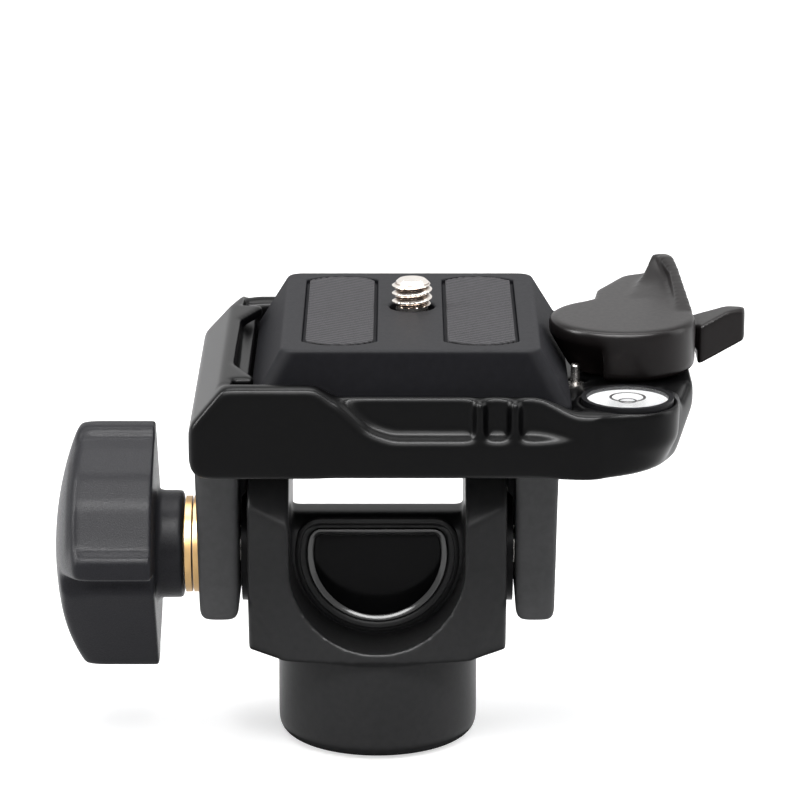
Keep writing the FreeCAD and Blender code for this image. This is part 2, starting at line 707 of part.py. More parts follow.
def hooks():
    """Two pointed teeth of the fixed jaw that reach over the plate's bevel."""
    root = JAW_INNER - 1
    tip = JAW_INNER + HOOK_REACH
    shapes = []
    for end, direction in ((-HOOK_FRONT, 1), (HOOK_BACK, -1)):
        corners = [(root, end, 0), (tip, end, 0.4), (tip, end + direction * HOOK_END, 0.4),
                   (JAW_INNER, end + direction * HOOK_LENGTH, 0),
                   (root, end + direction * HOOK_LENGTH, 0)]
        shapes.append(prism_z(corners, JAW_TOP - HOOK_THICK, JAW_TOP))
    return shapes


def platform_bores():
    """Holes for the bolt, its head, the washer, the pivot, the spring pin and the bubble level."""
    bores = [across(BOLT_R + SEAT, -LEG_OUTER - 1, LEG_OUTER + 1)]
    bores.append(hexagon(HEAD_ACROSS + 2 * HEAD_SPACE, HEAD_X, LEG_OUTER + 1))
    bores.append(across(THRUST_R + 0.4, -LEG_OUTER - 1, SPOT_X))
    bores.append(upright(PIVOT_R + RUN, PIVOT_X, PIVOT_Y, FLOOR_BOTTOM - 1, LEVER_PAD_Z + 1))
    bores.append(upright(HOLD_R + RUN, HOLD_X, HOLD_Y, FLOOR_BOTTOM - 1, TRAY_Z + 1))
    bores.append(upright(HOLD_BORE_R, HOLD_X, HOLD_Y, FLOOR_BOTTOM - 1, HOLD_BORE_TOP))
    bores.append(upright(BUBBLE_CUP_R, BUBBLE_X, BUBBLE_Y, BUBBLE_CUP_BOTTOM, CORNER_PAD_Z + 1))
    return bores


def platform_casting():
    casting = platform_blank().cut(tray_cuts()).cut(back_corner_facet()).cut(rail_pocket())
    casting = casting.cut(underside_cuts())
    boss_bottom = UNDER_TOP - PIVOT_BOSS
    casting = casting.fuse(upright(PIVOT_BOSS_R, PIVOT_X, PIVOT_Y, boss_bottom, LEVER_PAD_Z - 1))
    casting = casting.fuse(upright(HOLD_BOSS_R, HOLD_X, HOLD_Y, FLOOR_BOTTOM, TRAY_Z - 1))
    casting = casting.fuse([leg(-1), leg(1)] + hooks())
    return casting.cut(platform_bores()).cut(corner_notch())


# Bubble level

def bubble_cup():
    cup = upright(BUBBLE_CUP_R - SEAT, BUBBLE_X, BUBBLE_Y, BUBBLE_CUP_BOTTOM, CORNER_LEVEL)
    inner = BUBBLE_CUP_R - BUBBLE_CUP_WALL
    low = BUBBLE_CUP_BOTTOM + BUBBLE_CUP_FLOOR
    return cup.cut(upright(inner, BUBBLE_X, BUBBLE_Y, low, CORNER_LEVEL + 1))


def bubble_radius():
    return BUBBLE_CUP_R - BUBBLE_CUP_WALL - SEAT


def bubble_dial():
    low = BUBBLE_CUP_BOTTOM + BUBBLE_CUP_FLOOR
    return upright(bubble_radius(), BUBBLE_X, BUBBLE_Y, low, DIAL_TOP)


def air_space():
    """Flattened bubble under the lens."""
    top = CORNER_LEVEL - BUBBLE_LENS - BUBBLE_SUNK
    ball = Part.makeSphere(AIR_R)
    flat = FreeCAD.Matrix()
    flat.scale(1, 1, AIR_FLAT)
    ball = ball.transformGeometry(flat)
    ball.translate(V(BUBBLE_X, BUBBLE_Y, top - AIR_FLAT * AIR_R))
    return ball


def bubble_liquid():
    liquid = upright(bubble_radius(), BUBBLE_X, BUBBLE_Y, DIAL_TOP, CORNER_LEVEL - BUBBLE_LENS)
    return liquid.cut(air_space())


def bubble_lens():
    low = CORNER_LEVEL - BUBBLE_LENS
    return upright(bubble_radius(), BUBBLE_X, BUBBLE_Y, low, CORNER_LEVEL - BUBBLE_SUNK)


# Quick-release plate

def bevelled_block():
    """Plate body: four bevels that spread downwards to an upright flange."""
    top = [(PLATE_LEFT, PLATE_FRONT, PLATE_CORNER), (PLATE_RIGHT, PLATE_FRONT, PLATE_CORNER),
           (PLATE_RIGHT, PLATE_BACK, PLATE_CORNER), (PLATE_LEFT, PLATE_BACK, PLATE_CORNER)]
    low = [(FLANGE_LEFT, FLANGE_FRONT, PLATE_CORNER), (FLANGE_RIGHT, FLANGE_FRONT, PLATE_CORNER),
           (FLANGE_RIGHT, FLANGE_BACK, PLATE_CORNER), (FLANGE_LEFT, FLANGE_BACK, PLATE_CORNER)]
    upper = outline(top, lambda x, y: V(x, y, PLATE_TOP))
    lower = outline(low, lambda x, y: V(x, y, FLANGE_TOP))
    bevels = Part.makeLoft([lower, upper], True, True)
    return bevels.fuse(prism_z(low, PLATE_SEAT, FLANGE_TOP))


def pad_outline(middle_x, spread):
    """Corners of a pad, with its front and back ends arched outwards."""
    half_x = PAD_WIDTH / 2 + spread
    half_y = PAD_LENGTH / 2 + spread
    shoulder = half_y - PAD_ARCH
    corners = []
    for end in (-1, 1):
        for side in (-1, 1):
            corners.append((middle_x + side * end * -half_x, PLATE_PAD_Y + end * shoulder, 1.2))
            if side == -1:
                corners.append((middle_x + end * half_x * 0.45, PLATE_PAD_Y + end * half_y, 5.0))
                corners.append((middle_x - end * half_x * 0.45, PLATE_PAD_Y + end * half_y, 5.0))
    return corners


def pad_middles():
    return (PLATE_MIDDLE_X - PAD_SPACING / 2, PLATE_MIDDLE_X + PAD_SPACING / 2)


def quick_release_plate():
    plate = bevelled_block()
    for middle in pad_middles():
        pocket = prism_z(pad_outline(middle, PAD_GROOVE), PLATE_TOP - PAD_POCKET, PLATE_TOP + 1)
        plate = plate.cut(pocket)
    plate = plate.cut(upright(SCREW_R + SCREW_SPACE, SCREW_X, SCREW_Y, PLATE_SEAT, PLATE_TOP + 1))
    head_room = SCREW_HEAD_Z + SCREW_HEAD + GAP
    plate = plate.cut(upright(SCREW_HEAD_R + GAP, SCREW_X, SCREW_Y, PLATE_SEAT - 1, head_room))
    ring = SCREW_HEAD_R + GAP + RING_BITE
    plate = plate.cut(upright(ring, SCREW_X, SCREW_Y, RING_Z, RING_Z + RING_THICK))
    left = FLANGE_LEFT + PLATE_RIM
    right = FLANGE_RIGHT - PLATE_RIM
    front = FLANGE_FRONT + PLATE_RIM
    back = FLANGE_BACK - PLATE_RIM
    room = SCREW_HEAD_R + PLATE_RIM
    for y0, y1 in ((front, SCREW_Y - room), (SCREW_Y + room, back)):
        corners = [(left, y0, 2), (right, y0, 2), (right, y1, 2), (left, y1, 2)]
        plate = plate.cut(prism_z(corners, PLATE_SEAT - 1, PLATE_SEAT + PLATE_UNDER))
    return plate


def plate_pad(middle):
    low = PLATE_TOP - PAD_POCKET
    return prism_z(pad_outline(middle, 0), low, low + PAD_THICK)


def retaining_ring():
    outer = SCREW_HEAD_R + GAP + RING_BITE - SEAT
    top = RING_Z + RING_THICK
    ring = tube_upright(outer, outer - RING_WIDTH, SCREW_X, SCREW_Y, RING_Z, top)
    return ring.cut(box(SCREW_X - 1.5, SCREW_X + 1.5, SCREW_Y, SCREW_Y + outer + 1,
                        RING_Z - 1, top + 1))


def camera_screw():
    head_z = SCREW_HEAD_Z
    top = PLATE_TOP + SCREW_RISE
    thread = upright(SCREW_R, SCREW_X, SCREW_Y, PLATE_TOP + SCREW_START, top)
    thread = thread.makeChamfer(SCREW_TIP, [e for e in thread.Edges if e.BoundBox.ZMin > top - 0.01])
    neck = upright(SCREW_NECK_R, SCREW_X, SCREW_Y, head_z + 0.5, PLATE_TOP + 1)
    screw = thread.fuse(neck).fuse(upright(SCREW_HEAD_R, SCREW_X, SCREW_Y, head_z, head_z + SCREW_HEAD))
    slot = box(SCREW_X - SCREW_HEAD_R, SCREW_X + SCREW_HEAD_R, SCREW_Y - SCREW_SLOT / 2,
               SCREW_Y + SCREW_SLOT / 2, head_z - 1, head_z + SCREW_SLOT_DEPTH)
    return screw.cut(slot)


# Quick-release lever

def cam_bevel():
    """Material taken off the drum so that its cam face matches the plate's bevel."""
    low_r = DRUM_R - BEVEL_X * (CAM_TOP - DRUM_BOTTOM)
    outside = upright(DRUM_R + 3, DRUM_X, DRUM_Y, DRUM_BOTTOM - 1, CAM_TOP)
    extra = BEVEL_X * 1.0
    cone = Part.makeCone(low_r - extra, DRUM_R, CAM_TOP - DRUM_BOTTOM + 1,
                         V(DRUM_X, DRUM_Y, DRUM_BOTTOM - 1))
    ring = outside.cut(cone)
    far = 4 * DRUM_R
    points = [(0, 0)]
    steps = 4
    for i in range(steps + 1):
        angle = math.radians(CAM_FROM + (CAM_TO - CAM_FROM) * i / steps)
        points.append((far * math.cos(angle), far * math.sin(angle)))
    corners = [(DRUM_X + x, DRUM_Y + y, 0) for x, y in points]
    return ring.common(prism_z(corners, DRUM_BOTTOM - 1, CAM_TOP))


def grip_plan(points):
    """Plan corners of the grip, as shares of its side and length from the drum's centre."""
    return placed(DRUM_X, DRUM_Y, HANDLE_SIDE, HANDLE_LENGTH, points)


def grip_side(points):
    """Corners of y and z seen from the side, with y as a share of the grip's length."""
    return [(DRUM_Y + HANDLE_LENGTH * v, z, HANDLE_SIDE * r) for v, z, r in points]


def lever_handle():
    """Low grip that runs back from the drum along the right side."""
    back = HANDLE_BACK / HANDLE_SIDE
    plan = grip_plan([(-0.66, 0.07, 0), (-0.66, 0.26, 0), (-0.35, 0.385, 0.13), (-0.29, 0.575, 0.53),
                      (0.12, 0.9, 0.27), (0.61, 1.0, 0.18), (0.8, 0.98, 0.09),
                      (back, 0.74, 1.77), (1.0, 0.135, 1.77), (1.0, 0, 0)])
    return prism_z(plan, HANDLE_BOTTOM, DRUM_TOP)


def thumb_ramp():
    """Hollow ramp at the back of the grip that the thumb pushes against."""
    back = HANDLE_BACK / HANDLE_SIDE
    plan = grip_plan([(0.13, 0.34, 0), (0.33, 0.71, 1.06), (0.57, 0.99, 0.11), (0.82, 0.99, 0.11),
                      (back, 0.74, 0.89), (0.91, 0.34, 0)])
    blank = prism_z(plan, HANDLE_BOTTOM, HANDLE_TIP_Z + 1)
    side = grip_side([(0.37, HANDLE_BOTTOM, 0), (0.37, DRUM_TOP, 0), (0.73, DRUM_TOP + 0.5, 2.1),
                      (0.97, HANDLE_TIP_Z, 0.08), (1.05, HANDLE_TIP_Z - 1.6, 0),
                      (1.05, HANDLE_BOTTOM, 0)])
    return blank.common(prism_x(side, DRUM_X, DRUM_X + HANDLE_SIDE + 1))


def thumb_rim():
    """Raised rim on the right edge of the grip that climbs to the top of the ramp."""
    back = HANDLE_BACK / HANDLE_SIDE
    inner = 1 - RIM_WIDTH / HANDLE_SIDE
    plan = grip_plan([(inner, 0, 0), (inner - 0.035, 0.68, 1.06), (0.58, 0.99, 0.07),
                      (0.82, 0.99, 0.11), (back, 0.74, 0.89), (1.0, 0.135, 1.77), (1.0, 0, 0)])
    blank = prism_z(plan, HANDLE_BOTTOM, HANDLE_TIP_Z + 1)
    side = grip_side([(0, HANDLE_BOTTOM, 0), (0, DRUM_TOP - 0.4, 0), (0.2, DRUM_TOP + 0.5, 1.24),
                      (0.895, HANDLE_TIP_Z + 0.2, 0.22), (1.05, HANDLE_TIP_Z - 1.8, 0),
                      (1.05, HANDLE_BOTTOM, 0)])
    return blank.common(prism_x(side, DRUM_X, DRUM_X + HANDLE_SIDE + 1))


def catch_spring_pocket():
    """Blind hole in the drum's side that holds the catch's spring."""
    bottom = V(CATCH_SPRING_X, DRUM_Y + CATCH_SPRING_SEAT, CATCH_SPRING_Z)
    radius = CATCH_SPRING_R + CATCH_SPRING_WIRE / 2 + CATCH_SPRING_SPACE
    return rod(radius, bottom, bottom + V(0, DRUM_R, 0))


def qr_lever():
    drum = upright(DRUM_R, DRUM_X, DRUM_Y, DRUM_BOTTOM, DRUM_TOP)
    drum = round_edges(drum, DRUM_ROUND, lambda edge: edge.BoundBox.ZLength < 0.01)
    drum = drum.cut(catch_spring_pocket())
    lever = drum.fuse([lever_handle(), thumb_ramp(), thumb_rim()]).cut(cam_bevel())
    lever = lever.cut(upright(PIVOT_R, PIVOT_X, PIVOT_Y, DRUM_BOTTOM - 1,
                              DRUM_BOTTOM + PIVOT_IN_LEVER))
    reach = LEVER_SPRING_WIRE + LEVER_SPRING_SPACE
    depth = LEVER_SPRING_LENGTH + 2 * LEVER_SPRING_SPACE
    lever = lever.cut(tube_upright(LEVER_SPRING_R + reach, LEVER_SPRING_R - reach, PIVOT_X, PIVOT_Y,
                                   DRUM_BOTTOM - 1, DRUM_BOTTOM + depth))
    return lever.cut(upright(CATCH_PIN_R, CATCH_PIN_X, CATCH_PIN_Y, HANDLE_BOTTOM - 1,
                             HANDLE_BOTTOM + CATCH_PIN_IN))


def pivot_pin():
    pin = upright(PIVOT_R, PIVOT_X, PIVOT_Y, CLIP_Z - PIVOT_TAIL, DRUM_BOTTOM + PIVOT_IN_LEVER)
    groove = tube_upright(PIVOT_R + 1, PIVOT_R - CLIP_BITE, PIVOT_X, PIVOT_Y,
                          CLIP_Z, CLIP_Z + CLIP_THICK)
    return pin.cut(groove)


def pivot_washer():
    return tube_upright(WASHER_R, PIVOT_R + SEAT, PIVOT_X, PIVOT_Y,
                        WASHER_TOP - CLIP_THICK, WASHER_TOP)


def open_clip(outer, inner, x, y, z, thick):
    """Clip with a mouth, as it snaps into a groove."""
    ring = tube_upright(outer, inner, x, y, z, z + thick)
    return ring.cut(box(x - inner * 0.8, x + inner * 0.8, y - outer - 1, y, z - 1, z + thick + 1))


def pivot_clip():
    return open_clip(CLIP_R, PIVOT_R - CLIP_BITE, PIVOT_X, PIVOT_Y, CLIP_Z, CLIP_THICK)


def lever_spring():
    low = DRUM_BOTTOM + LEVER_SPRING_SPACE
    return spring(LEVER_SPRING_R, LEVER_SPRING_WIRE, V(PIVOT_X, PIVOT_Y, low),
                  V(PIVOT_X, PIVOT_Y, low + LEVER_SPRING_LENGTH))


# Safety catch

def catch_finger():
    """Outer end of the catch: it rises and sweeps back as it leaves the lever."""
    plan = placed(CATCH_OUTER, CATCH_PIN_Y, CATCH_REACH, CATCH_REACH,
                  [(0, -0.89, 0.06), (0.905, -0.31, 0.095), (0.95, -0.05, 0.107),
                   (0.38, 0.095, 0.3), (0, 0.24, 0.06)])
    root = CATCH_OUTER - 0.5
    tip = CATCH_OUTER + CATCH_REACH
    top = CATCH_TOP + CATCH_RISE
    side = [(root, CATCH_BOTTOM - CATCH_DROP, 0), (tip, CATCH_BOTTOM + CATCH_TIP_RISE, 1.0),
            (tip, top, 0.9), (CATCH_OUTER + 0.57 * CATCH_REACH, top - 0.1, 4.0),
            (root, CATCH_TOP, 0)]
    blank = prism_z(plan, CATCH_BOTTOM - CATCH_DROP - 1, top + 1)
    return blank.common(prism_y(side, CATCH_PIN_Y - CATCH_REACH, CATCH_PIN_Y + CATCH_REACH))


def safety_catch():
    """Arm that turns under the grip, from its spring at the drum to the finger outside."""
    plan = placed(CATCH_PIN_X, CATCH_PIN_Y, CATCH_NOSE, CATCH_NOSE,
                  [(-1, CATCH_FACE / CATCH_NOSE, 0.11), (-0.57, CATCH_FACE / CATCH_NOSE, 0.15),
                   (-0.26, -0.11, 0.22), (0.67, -1.07, 0.185), (0.85, -1.185, 0), (0.85, 0.37, 0),
                   (0.185, 0.667, 0.44), (-1, 0.63, 0.11)])
    catch = prism_z(plan, CATCH_BOTTOM, CATCH_TOP).fuse(catch_finger())
    return catch.cut(upright(CATCH_PIN_R + RUN, CATCH_PIN_X, CATCH_PIN_Y,
                             CATCH_BOTTOM - 1, CATCH_TOP + 1))


def catch_pivot():
    pin = upright(CATCH_PIN_R, CATCH_PIN_X, CATCH_PIN_Y, CATCH_CLIP_Z - CATCH_TAIL,
                  HANDLE_BOTTOM + CATCH_PIN_IN)
    groove = tube_upright(CATCH_PIN_R + 1, CATCH_PIN_R - CATCH_CLIP_BITE, CATCH_PIN_X, CATCH_PIN_Y,
                          CATCH_CLIP_Z, CATCH_CLIP_Z + CATCH_CLIP)
    return pin.cut(groove)


def catch_clip():
    return open_clip(CATCH_CLIP_R, CATCH_PIN_R - CATCH_CLIP_BITE, CATCH_PIN_X, CATCH_PIN_Y,
                     CATCH_CLIP_Z, CATCH_CLIP)


def catch_spring():
    front = DRUM_Y + CATCH_SPRING_SEAT + SPRING_SPACE
    back = CATCH_PIN_Y + CATCH_FACE - SPRING_SPACE
    return spring(CATCH_SPRING_R, CATCH_SPRING_WIRE, V(CATCH_SPRING_X, front, CATCH_SPRING_Z),
                  V(CATCH_SPRING_X, back, CATCH_SPRING_Z))


# Spring pin

def hold_pin():
    pin = upright(HOLD_R, HOLD_X, HOLD_Y, HOLD_COLLAR_Z - HOLD_TAIL, HOLD_SHOULDER)
    pin = pin.fuse(upright(HOLD_COLLAR_R, HOLD_X, HOLD_Y, HOLD_COLLAR_Z, HOLD_COLLAR_Z + HOLD_COLLAR))
    nib = upright(HOLD_NIB_R, HOLD_X, HOLD_Y, HOLD_SHOULDER - 1, HOLD_TOP)
    nib = round_edges(nib, 0.4, lambda edge: edge.BoundBox.ZMin > HOLD_TOP - 0.01)
    return pin.fuse(nib)


def hold_spring():
    low = FLOOR_BOTTOM + HOLD_PLUG + SPRING_SPACE
    return spring(HOLD_SPRING_R, HOLD_SPRING_WIRE, V(HOLD_X, HOLD_Y, low),
                  V(HOLD_X, HOLD_Y, HOLD_COLLAR_Z - SPRING_SPACE))


def hold_plug():
    return upright(HOLD_BORE_R, HOLD_X, HOLD_Y, FLOOR_BOTTOM, FLOOR_BOTTOM + HOLD_PLUG)


save(base_casting(), "base_casting")
save(base_thread_insert(), "base_thread_insert")
save(inlay_disc(), "inlay_disc")
for word, side in (("left", -1), ("right", 1)):
    save(tilt_bush(side), "tilt_bush_" + word)
    save(friction_washer(side), "friction_washer_" + word)
save(clamp_bolt(), "clamp_bolt")
save(thrust_washer(), "brass_thrust_washer")
save(spacer_washer(), "brass_spacer_washer")
save(clamp_knob(), "clamp_knob")
save(knob_insert(), "knob_insert")
save(platform_casting(), "platform_casting")
save(bubble_cup(), "bubble_cup")
save(bubble_dial(), "bubble_dial")
save(bubble_liquid(), "bubble_liquid")
save(air_space(), "air_bubble")
save(bubble_lens(), "bubble_lens")
save(quick_release_plate(), "quick_release_plate")
for word, middle in zip(("left", "right"), pad_middles()):
    save(plate_pad(middle), "plate_pad_" + word)
save(retaining_ring(), "screw_retaining_ring")
save(camera_screw(), "camera_screw")
save(qr_lever(), "release_lever")
save(pivot_pin(), "lever_pivot_pin")
save(pivot_washer(), "lever_pivot_washer")
save(pivot_clip(), "lever_pivot_clip")
save(lever_spring(), "lever_spring")
save(safety_catch(), "safety_catch")
save(catch_pivot(), "catch_pivot_pin")
save(catch_clip(), "catch_pivot_clip")
save(catch_spring(), "catch_spring")
save(hold_pin(), "hold_open_pin")
save(hold_spring(), "hold_open_spring")
save(hold_plug(), "hold_open_plug")
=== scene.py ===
import math

import bmesh
import bpy
import numpy as np
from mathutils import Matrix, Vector


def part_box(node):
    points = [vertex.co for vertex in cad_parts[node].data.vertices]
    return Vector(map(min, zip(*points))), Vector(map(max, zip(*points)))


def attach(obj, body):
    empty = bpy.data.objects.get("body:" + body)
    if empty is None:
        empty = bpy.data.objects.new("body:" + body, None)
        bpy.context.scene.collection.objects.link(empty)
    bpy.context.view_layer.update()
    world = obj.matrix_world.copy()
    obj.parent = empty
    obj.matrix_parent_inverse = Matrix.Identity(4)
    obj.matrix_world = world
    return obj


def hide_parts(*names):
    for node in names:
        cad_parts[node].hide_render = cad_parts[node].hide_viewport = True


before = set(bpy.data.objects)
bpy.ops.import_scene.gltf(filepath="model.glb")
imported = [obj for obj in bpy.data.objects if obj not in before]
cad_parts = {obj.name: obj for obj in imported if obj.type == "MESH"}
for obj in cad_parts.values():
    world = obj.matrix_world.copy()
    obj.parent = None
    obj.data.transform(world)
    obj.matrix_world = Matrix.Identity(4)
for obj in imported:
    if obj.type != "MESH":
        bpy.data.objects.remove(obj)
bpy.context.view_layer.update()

MM = 0.001
TURN = 2 * math.pi
AXIS = 0.0001 * MM            # radius that stands for the axis in a profile

# Camera screw
SCREW_PITCH = 1.27 * MM
SCREW_MAJOR = 3.175 * MM
SCREW_MINOR = 2.52 * MM
SCREW_THREAD = 4.3 * MM       # threaded length below its tip
SCREW_TIP = 2.1 * MM          # radius at the tip
SCREW_BEVEL = 1.1             # by how much the radius grows below the tip
SCREW_RUNOUT = 1.5            # and above the thread's start
SCREW_HEAD = 2.4 * MM
SCREW_SLOT = 1.6 * MM
SCREW_SLOT_DEPTH = 1.3 * MM

# Threaded insert of the base
INSERT_PITCH = 1.5875 * MM
INSERT_MAJOR = 4.76 * MM
INSERT_MINOR = 3.97 * MM
INSERT_MOUTH = 1.2            # by how much the bore opens towards its ends
INSERT_FLANGE = 1.2 * MM      # thickness
INSERT_BODY = 6.3 * MM        # radius above the flange

# Level
OUTER_RING = 2.6 * MM         # radius of the printed circle
OUTER_WIDTH = 0.42 * MM
BUBBLE_RING = 1.28 * MM       # radius of the bubble's edge
BUBBLE_WIDTH = 0.34 * MM
DIAL_WALL = 0.35 * MM
CUP_WALL = 1.0 * MM           # of the platform, round the cup
CUP_NARROW = 1.7 * MM         # by which that wall is narrower at its foot
CUP_FOOT = 29.2 * MM          # its foot above the platform's lowest point

# Inlay
INLAY_CORNER = 2.0 * MM
INLAY_DISH = 0.34 * MM        # depth of its face under the rim
INLAY_RIM_WIDTH = 1.1 * MM

# Pads
PAD_PITCH = 0.95 * MM
PAD_SLANT = math.radians(28)
PAD_RIB = 0.14 * MM
PAD_TOP = 0.2 * MM            # thickness of the layer that the ribs are pressed into
PAD_SHRINK = 0.2 * MM         # all round, so that the groove shows
PAD_MARGIN = 0.8 * MM         # of the plate round a pad that stays crisp

# Platform
LEG_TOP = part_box("platform_casting")[0][2] + 29.0 * MM
SHOULDER_DEPTH = 10.0 * MM    # steps at the roots of the legs, from front to back
SHOULDER_ROOT = 2.0 * MM      # by which they reach into the platform and the leg
SHOULDER_INSET = 0.1 * MM
SHOULDER_GAP = 0.3 * MM       # above the friction washers
PIN_PLAY = 0.45 * MM          # widens the hold-open pin's bore, more on its axis than at its wall
PIN_REACH = 4.5 * MM          # from the pin's axis to where nothing moves
REAR_RISE = 0.65 * MM         # lifts the rear rail's left end

# Knob
GRIP_SUNK = 0.9 * MM          # grip faces under their beads
GRIP_START = (98.0, 101.0)    # fades over these degrees round the axis
GRIP_END = (-169.5, -166.0)   # the same, counted backwards
GRIP_RADIUS = (16.0, 18.5)    # mm from the axis

# Front rail in mm, and where its field fades from its depth in the solid to what is shown
RAIL_THICK = 3.5
FIELD_DEPTH = 1.2
FIELD_SHOWN = 1.9
FIELD_LEFT = (-9.0, -7.0)
FIELD_RUNOUT = (23.5, 31.5)
FIELD_END = (33.6, 35.0)
FIELD_GONE = 0.98             # share of its depth that is gone where it has run out

# Shares of the way to its neighbours that a point moves in each round of relaxing
SOFT = 0.5
HOOKS_CRISPER = 0.28          # taken off at the jaw's hooks
BOWL_CRISPER = 0.20           # taken off at the bowl's rim
GROOVE = 0.08                 # at the grooves round the pads
BEAD = 0.10                   # at the knob's beads and hub
ROUNDS = 1.6                  # rounds that make an edge as round as a voxel is long

# Camera, light and floor
CAMERA_PLACE = (0.0036, -0.6566, 0.2369)
CAMERA_TILT = math.radians(74.5)
CAMERA_LENS = 193.5
WORLD_LIGHT = 0.30
FLOOR_GREY = 0.70
FLOOR_GLOW = 0.60
FLOOR_HALF = 1.2


# Small helpers for meshes

def add_object(name, mesh, material, body):
    piece = bpy.data.objects.new(name, mesh)
    bpy.context.scene.collection.objects.link(piece)
    piece.data.materials.append(material)
    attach(piece, body)
    return piece


def mesh_from(name, verts, faces, smooth_angle=35):
    mesh = bpy.data.meshes.new(name)
    mesh.from_pydata(verts, [], faces)
    work = bmesh.new()
    work.from_mesh(mesh)
    bmesh.ops.remove_doubles(work, verts=work.verts, dist=1e-7)
    bmesh.ops.recalc_face_normals(work, faces=work.faces)
    work.to_mesh(mesh)
    work.free()
    mesh.shade_smooth()
    mesh.set_sharp_from_angle(angle=math.radians(smooth_angle))
    return mesh


def lathe(profile, centre, steps=96):
    """Verts and faces of a closed profile of (radius, height), turned about an upright axis."""
    verts = []
    faces = []
    count = len(profile)
    for i in range(steps):
        angle = TURN * i / steps
        for radius, height in profile:
            verts.append((centre[0] + radius * math.cos(angle),
                          centre[1] + radius * math.sin(angle), height))
    for i in range(steps):
        here = i * count
        there = (i + 1) % steps * count
        for j in range(count):
            k = (j + 1) % count
            faces.append((here + j, there + j, there + k, here + k))
    return verts, faces


def joined(*parts):
    """One list of verts and one of faces from several parts."""
    verts = []
    faces = []
    for part_verts, part_faces in parts:
        start = len(verts)
        verts += part_verts
        faces += [tuple(start + i for i in face) for face in part_faces]
    return verts, faces


def thread_radius(height, angle, pitch, inner, outer, flat=0.16):
    """Radius of a right-hand thread with flat crests and roots."""
    phase = (height / pitch - angle / TURN) % 1.0
    slope = (abs(phase - 0.5) * 2 - flat) / (1 - 2 * flat)
    return inner + (outer - inner) * max(0.0, min(1.0, slope))


def grid_faces(rows, columns):
    """Faces between rows of points that go once round."""
    faces = []
    for r in range(rows - 1):
        for c in range(columns):
            d = (c + 1) % columns
            faces.append((r * columns + c, r * columns + d,
                          (r + 1) * columns + d, (r + 1) * columns + c))
    return faces


def half_discs(centre, radius, slot, low, high, steps=40):
    """The two halves that a straight slot leaves of a round head."""
    parts = []
    start = math.asin(slot / 2 / radius)
    for turn in (0.0, math.pi):
        ring = []
        for i in range(steps + 1):
            angle = turn + start + (math.pi - 2 * start) * i / steps
            ring.append((centre[0] + radius * math.cos(angle),
                         centre[1] + radius * math.sin(angle)))
        count = len(ring)
        verts = [(x, y, low) for x, y in ring] + [(x, y, high) for x, y in ring]
        faces = [tuple(range(count)), tuple(range(count, 2 * count))]
        faces += grid_faces(2, count)
        parts.append((verts, faces))
    return joined(*parts)


def middle(node):
    low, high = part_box(node)
    return ((low[0] + high[0]) / 2, (low[1] + high[1]) / 2)


def even_copy(node, voxel, extra=None):
    """Copy of a carried-over solid, with an extra form run into it, in evenly spaced points."""
    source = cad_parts[node]
    mesh = source.data.copy()
    mesh.transform(source.matrix_world)
    if extra:
        work = bmesh.new()
        work.from_mesh(mesh)
        work.from_mesh(mesh_from("extra", *extra))
        work.to_mesh(mesh)
        work.free()
    rough = bpy.data.objects.new("rough", mesh)
    bpy.context.scene.collection.objects.link(rough)
    remesh = rough.modifiers.new("even", "REMESH")
    remesh.mode = "VOXEL"
    remesh.voxel_size = voxel
    seen = rough.evaluated_get(bpy.context.evaluated_depsgraph_get())
    even = bpy.data.meshes.new_from_object(seen)
    bpy.data.objects.remove(rough)
    return even


def read_points(mesh):
    flat = np.empty(len(mesh.vertices) * 3)
    mesh.vertices.foreach_get("co", flat)
    return flat.reshape(-1, 3)


def write_points(mesh, points):
    mesh.vertices.foreach_set("co", points.ravel())


def relax(mesh, share, rounds):
    """Moves each point towards its neighbours: edges get round, and flat faces stay flat."""
    points = read_points(mesh)
    count = len(points)
    ends = np.empty(len(mesh.edges) * 2, dtype=np.int32)
    mesh.edges.foreach_get("vertices", ends)
    first, second = ends.reshape(-1, 2).T
    degree = np.bincount(ends, minlength=count)
    part = share(points) if callable(share) else share
    for _ in range(rounds):
        moved = np.empty_like(points)
        for axis in range(3):
            near = (np.bincount(first, points[second, axis], count)
                    + np.bincount(second, points[first, axis], count)) / degree
            moved[:, axis] = points[:, axis] + part * (near - points[:, axis])
        points = moved
    write_points(mesh, points)


def rounded_casting(node, body, voxel, radius, faces, share=SOFT, shaping=None, extra=None):
    """Stands for a solid, with the rounded edges of a coated casting; voxel and radius in mm."""
    mesh = even_copy(node, voxel * MM, extra)
    if shaping:
        shaping(mesh)
    relax(mesh, share, round((radius / voxel) ** 2 * ROUNDS))
    mesh.shade_smooth()
    piece = add_object(node + "_rounded", mesh, FINISH[node], body)
    fewer = piece.modifiers.new("fewer", "DECIMATE")
    fewer.ratio = faces / (2 * len(mesh.polygons))
    normals = piece.modifiers.new("normals", "WEIGHTED_NORMAL")
    normals.keep_sharp = True
    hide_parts(node)


def fade(values, start, end):
    """0 at start, 1 at end, and smooth between them."""
    part = np.clip((values - start) / (end - start), 0.0, 1.0)
    return part * part * (3 - 2 * part)


def platform_share(points):
    """Full rounding in front and below, and crisper hooks on the jaw."""
    x, y, z = points.T / MM
    hooks = fade(-x, 14.0, 17.0) * fade(z, 59.0, 60.0)
    hooks *= fade(y, -27.5, -26.0) * fade(-y, -28.5, -27.0)
    return SOFT - HOOKS_CRISPER * hooks


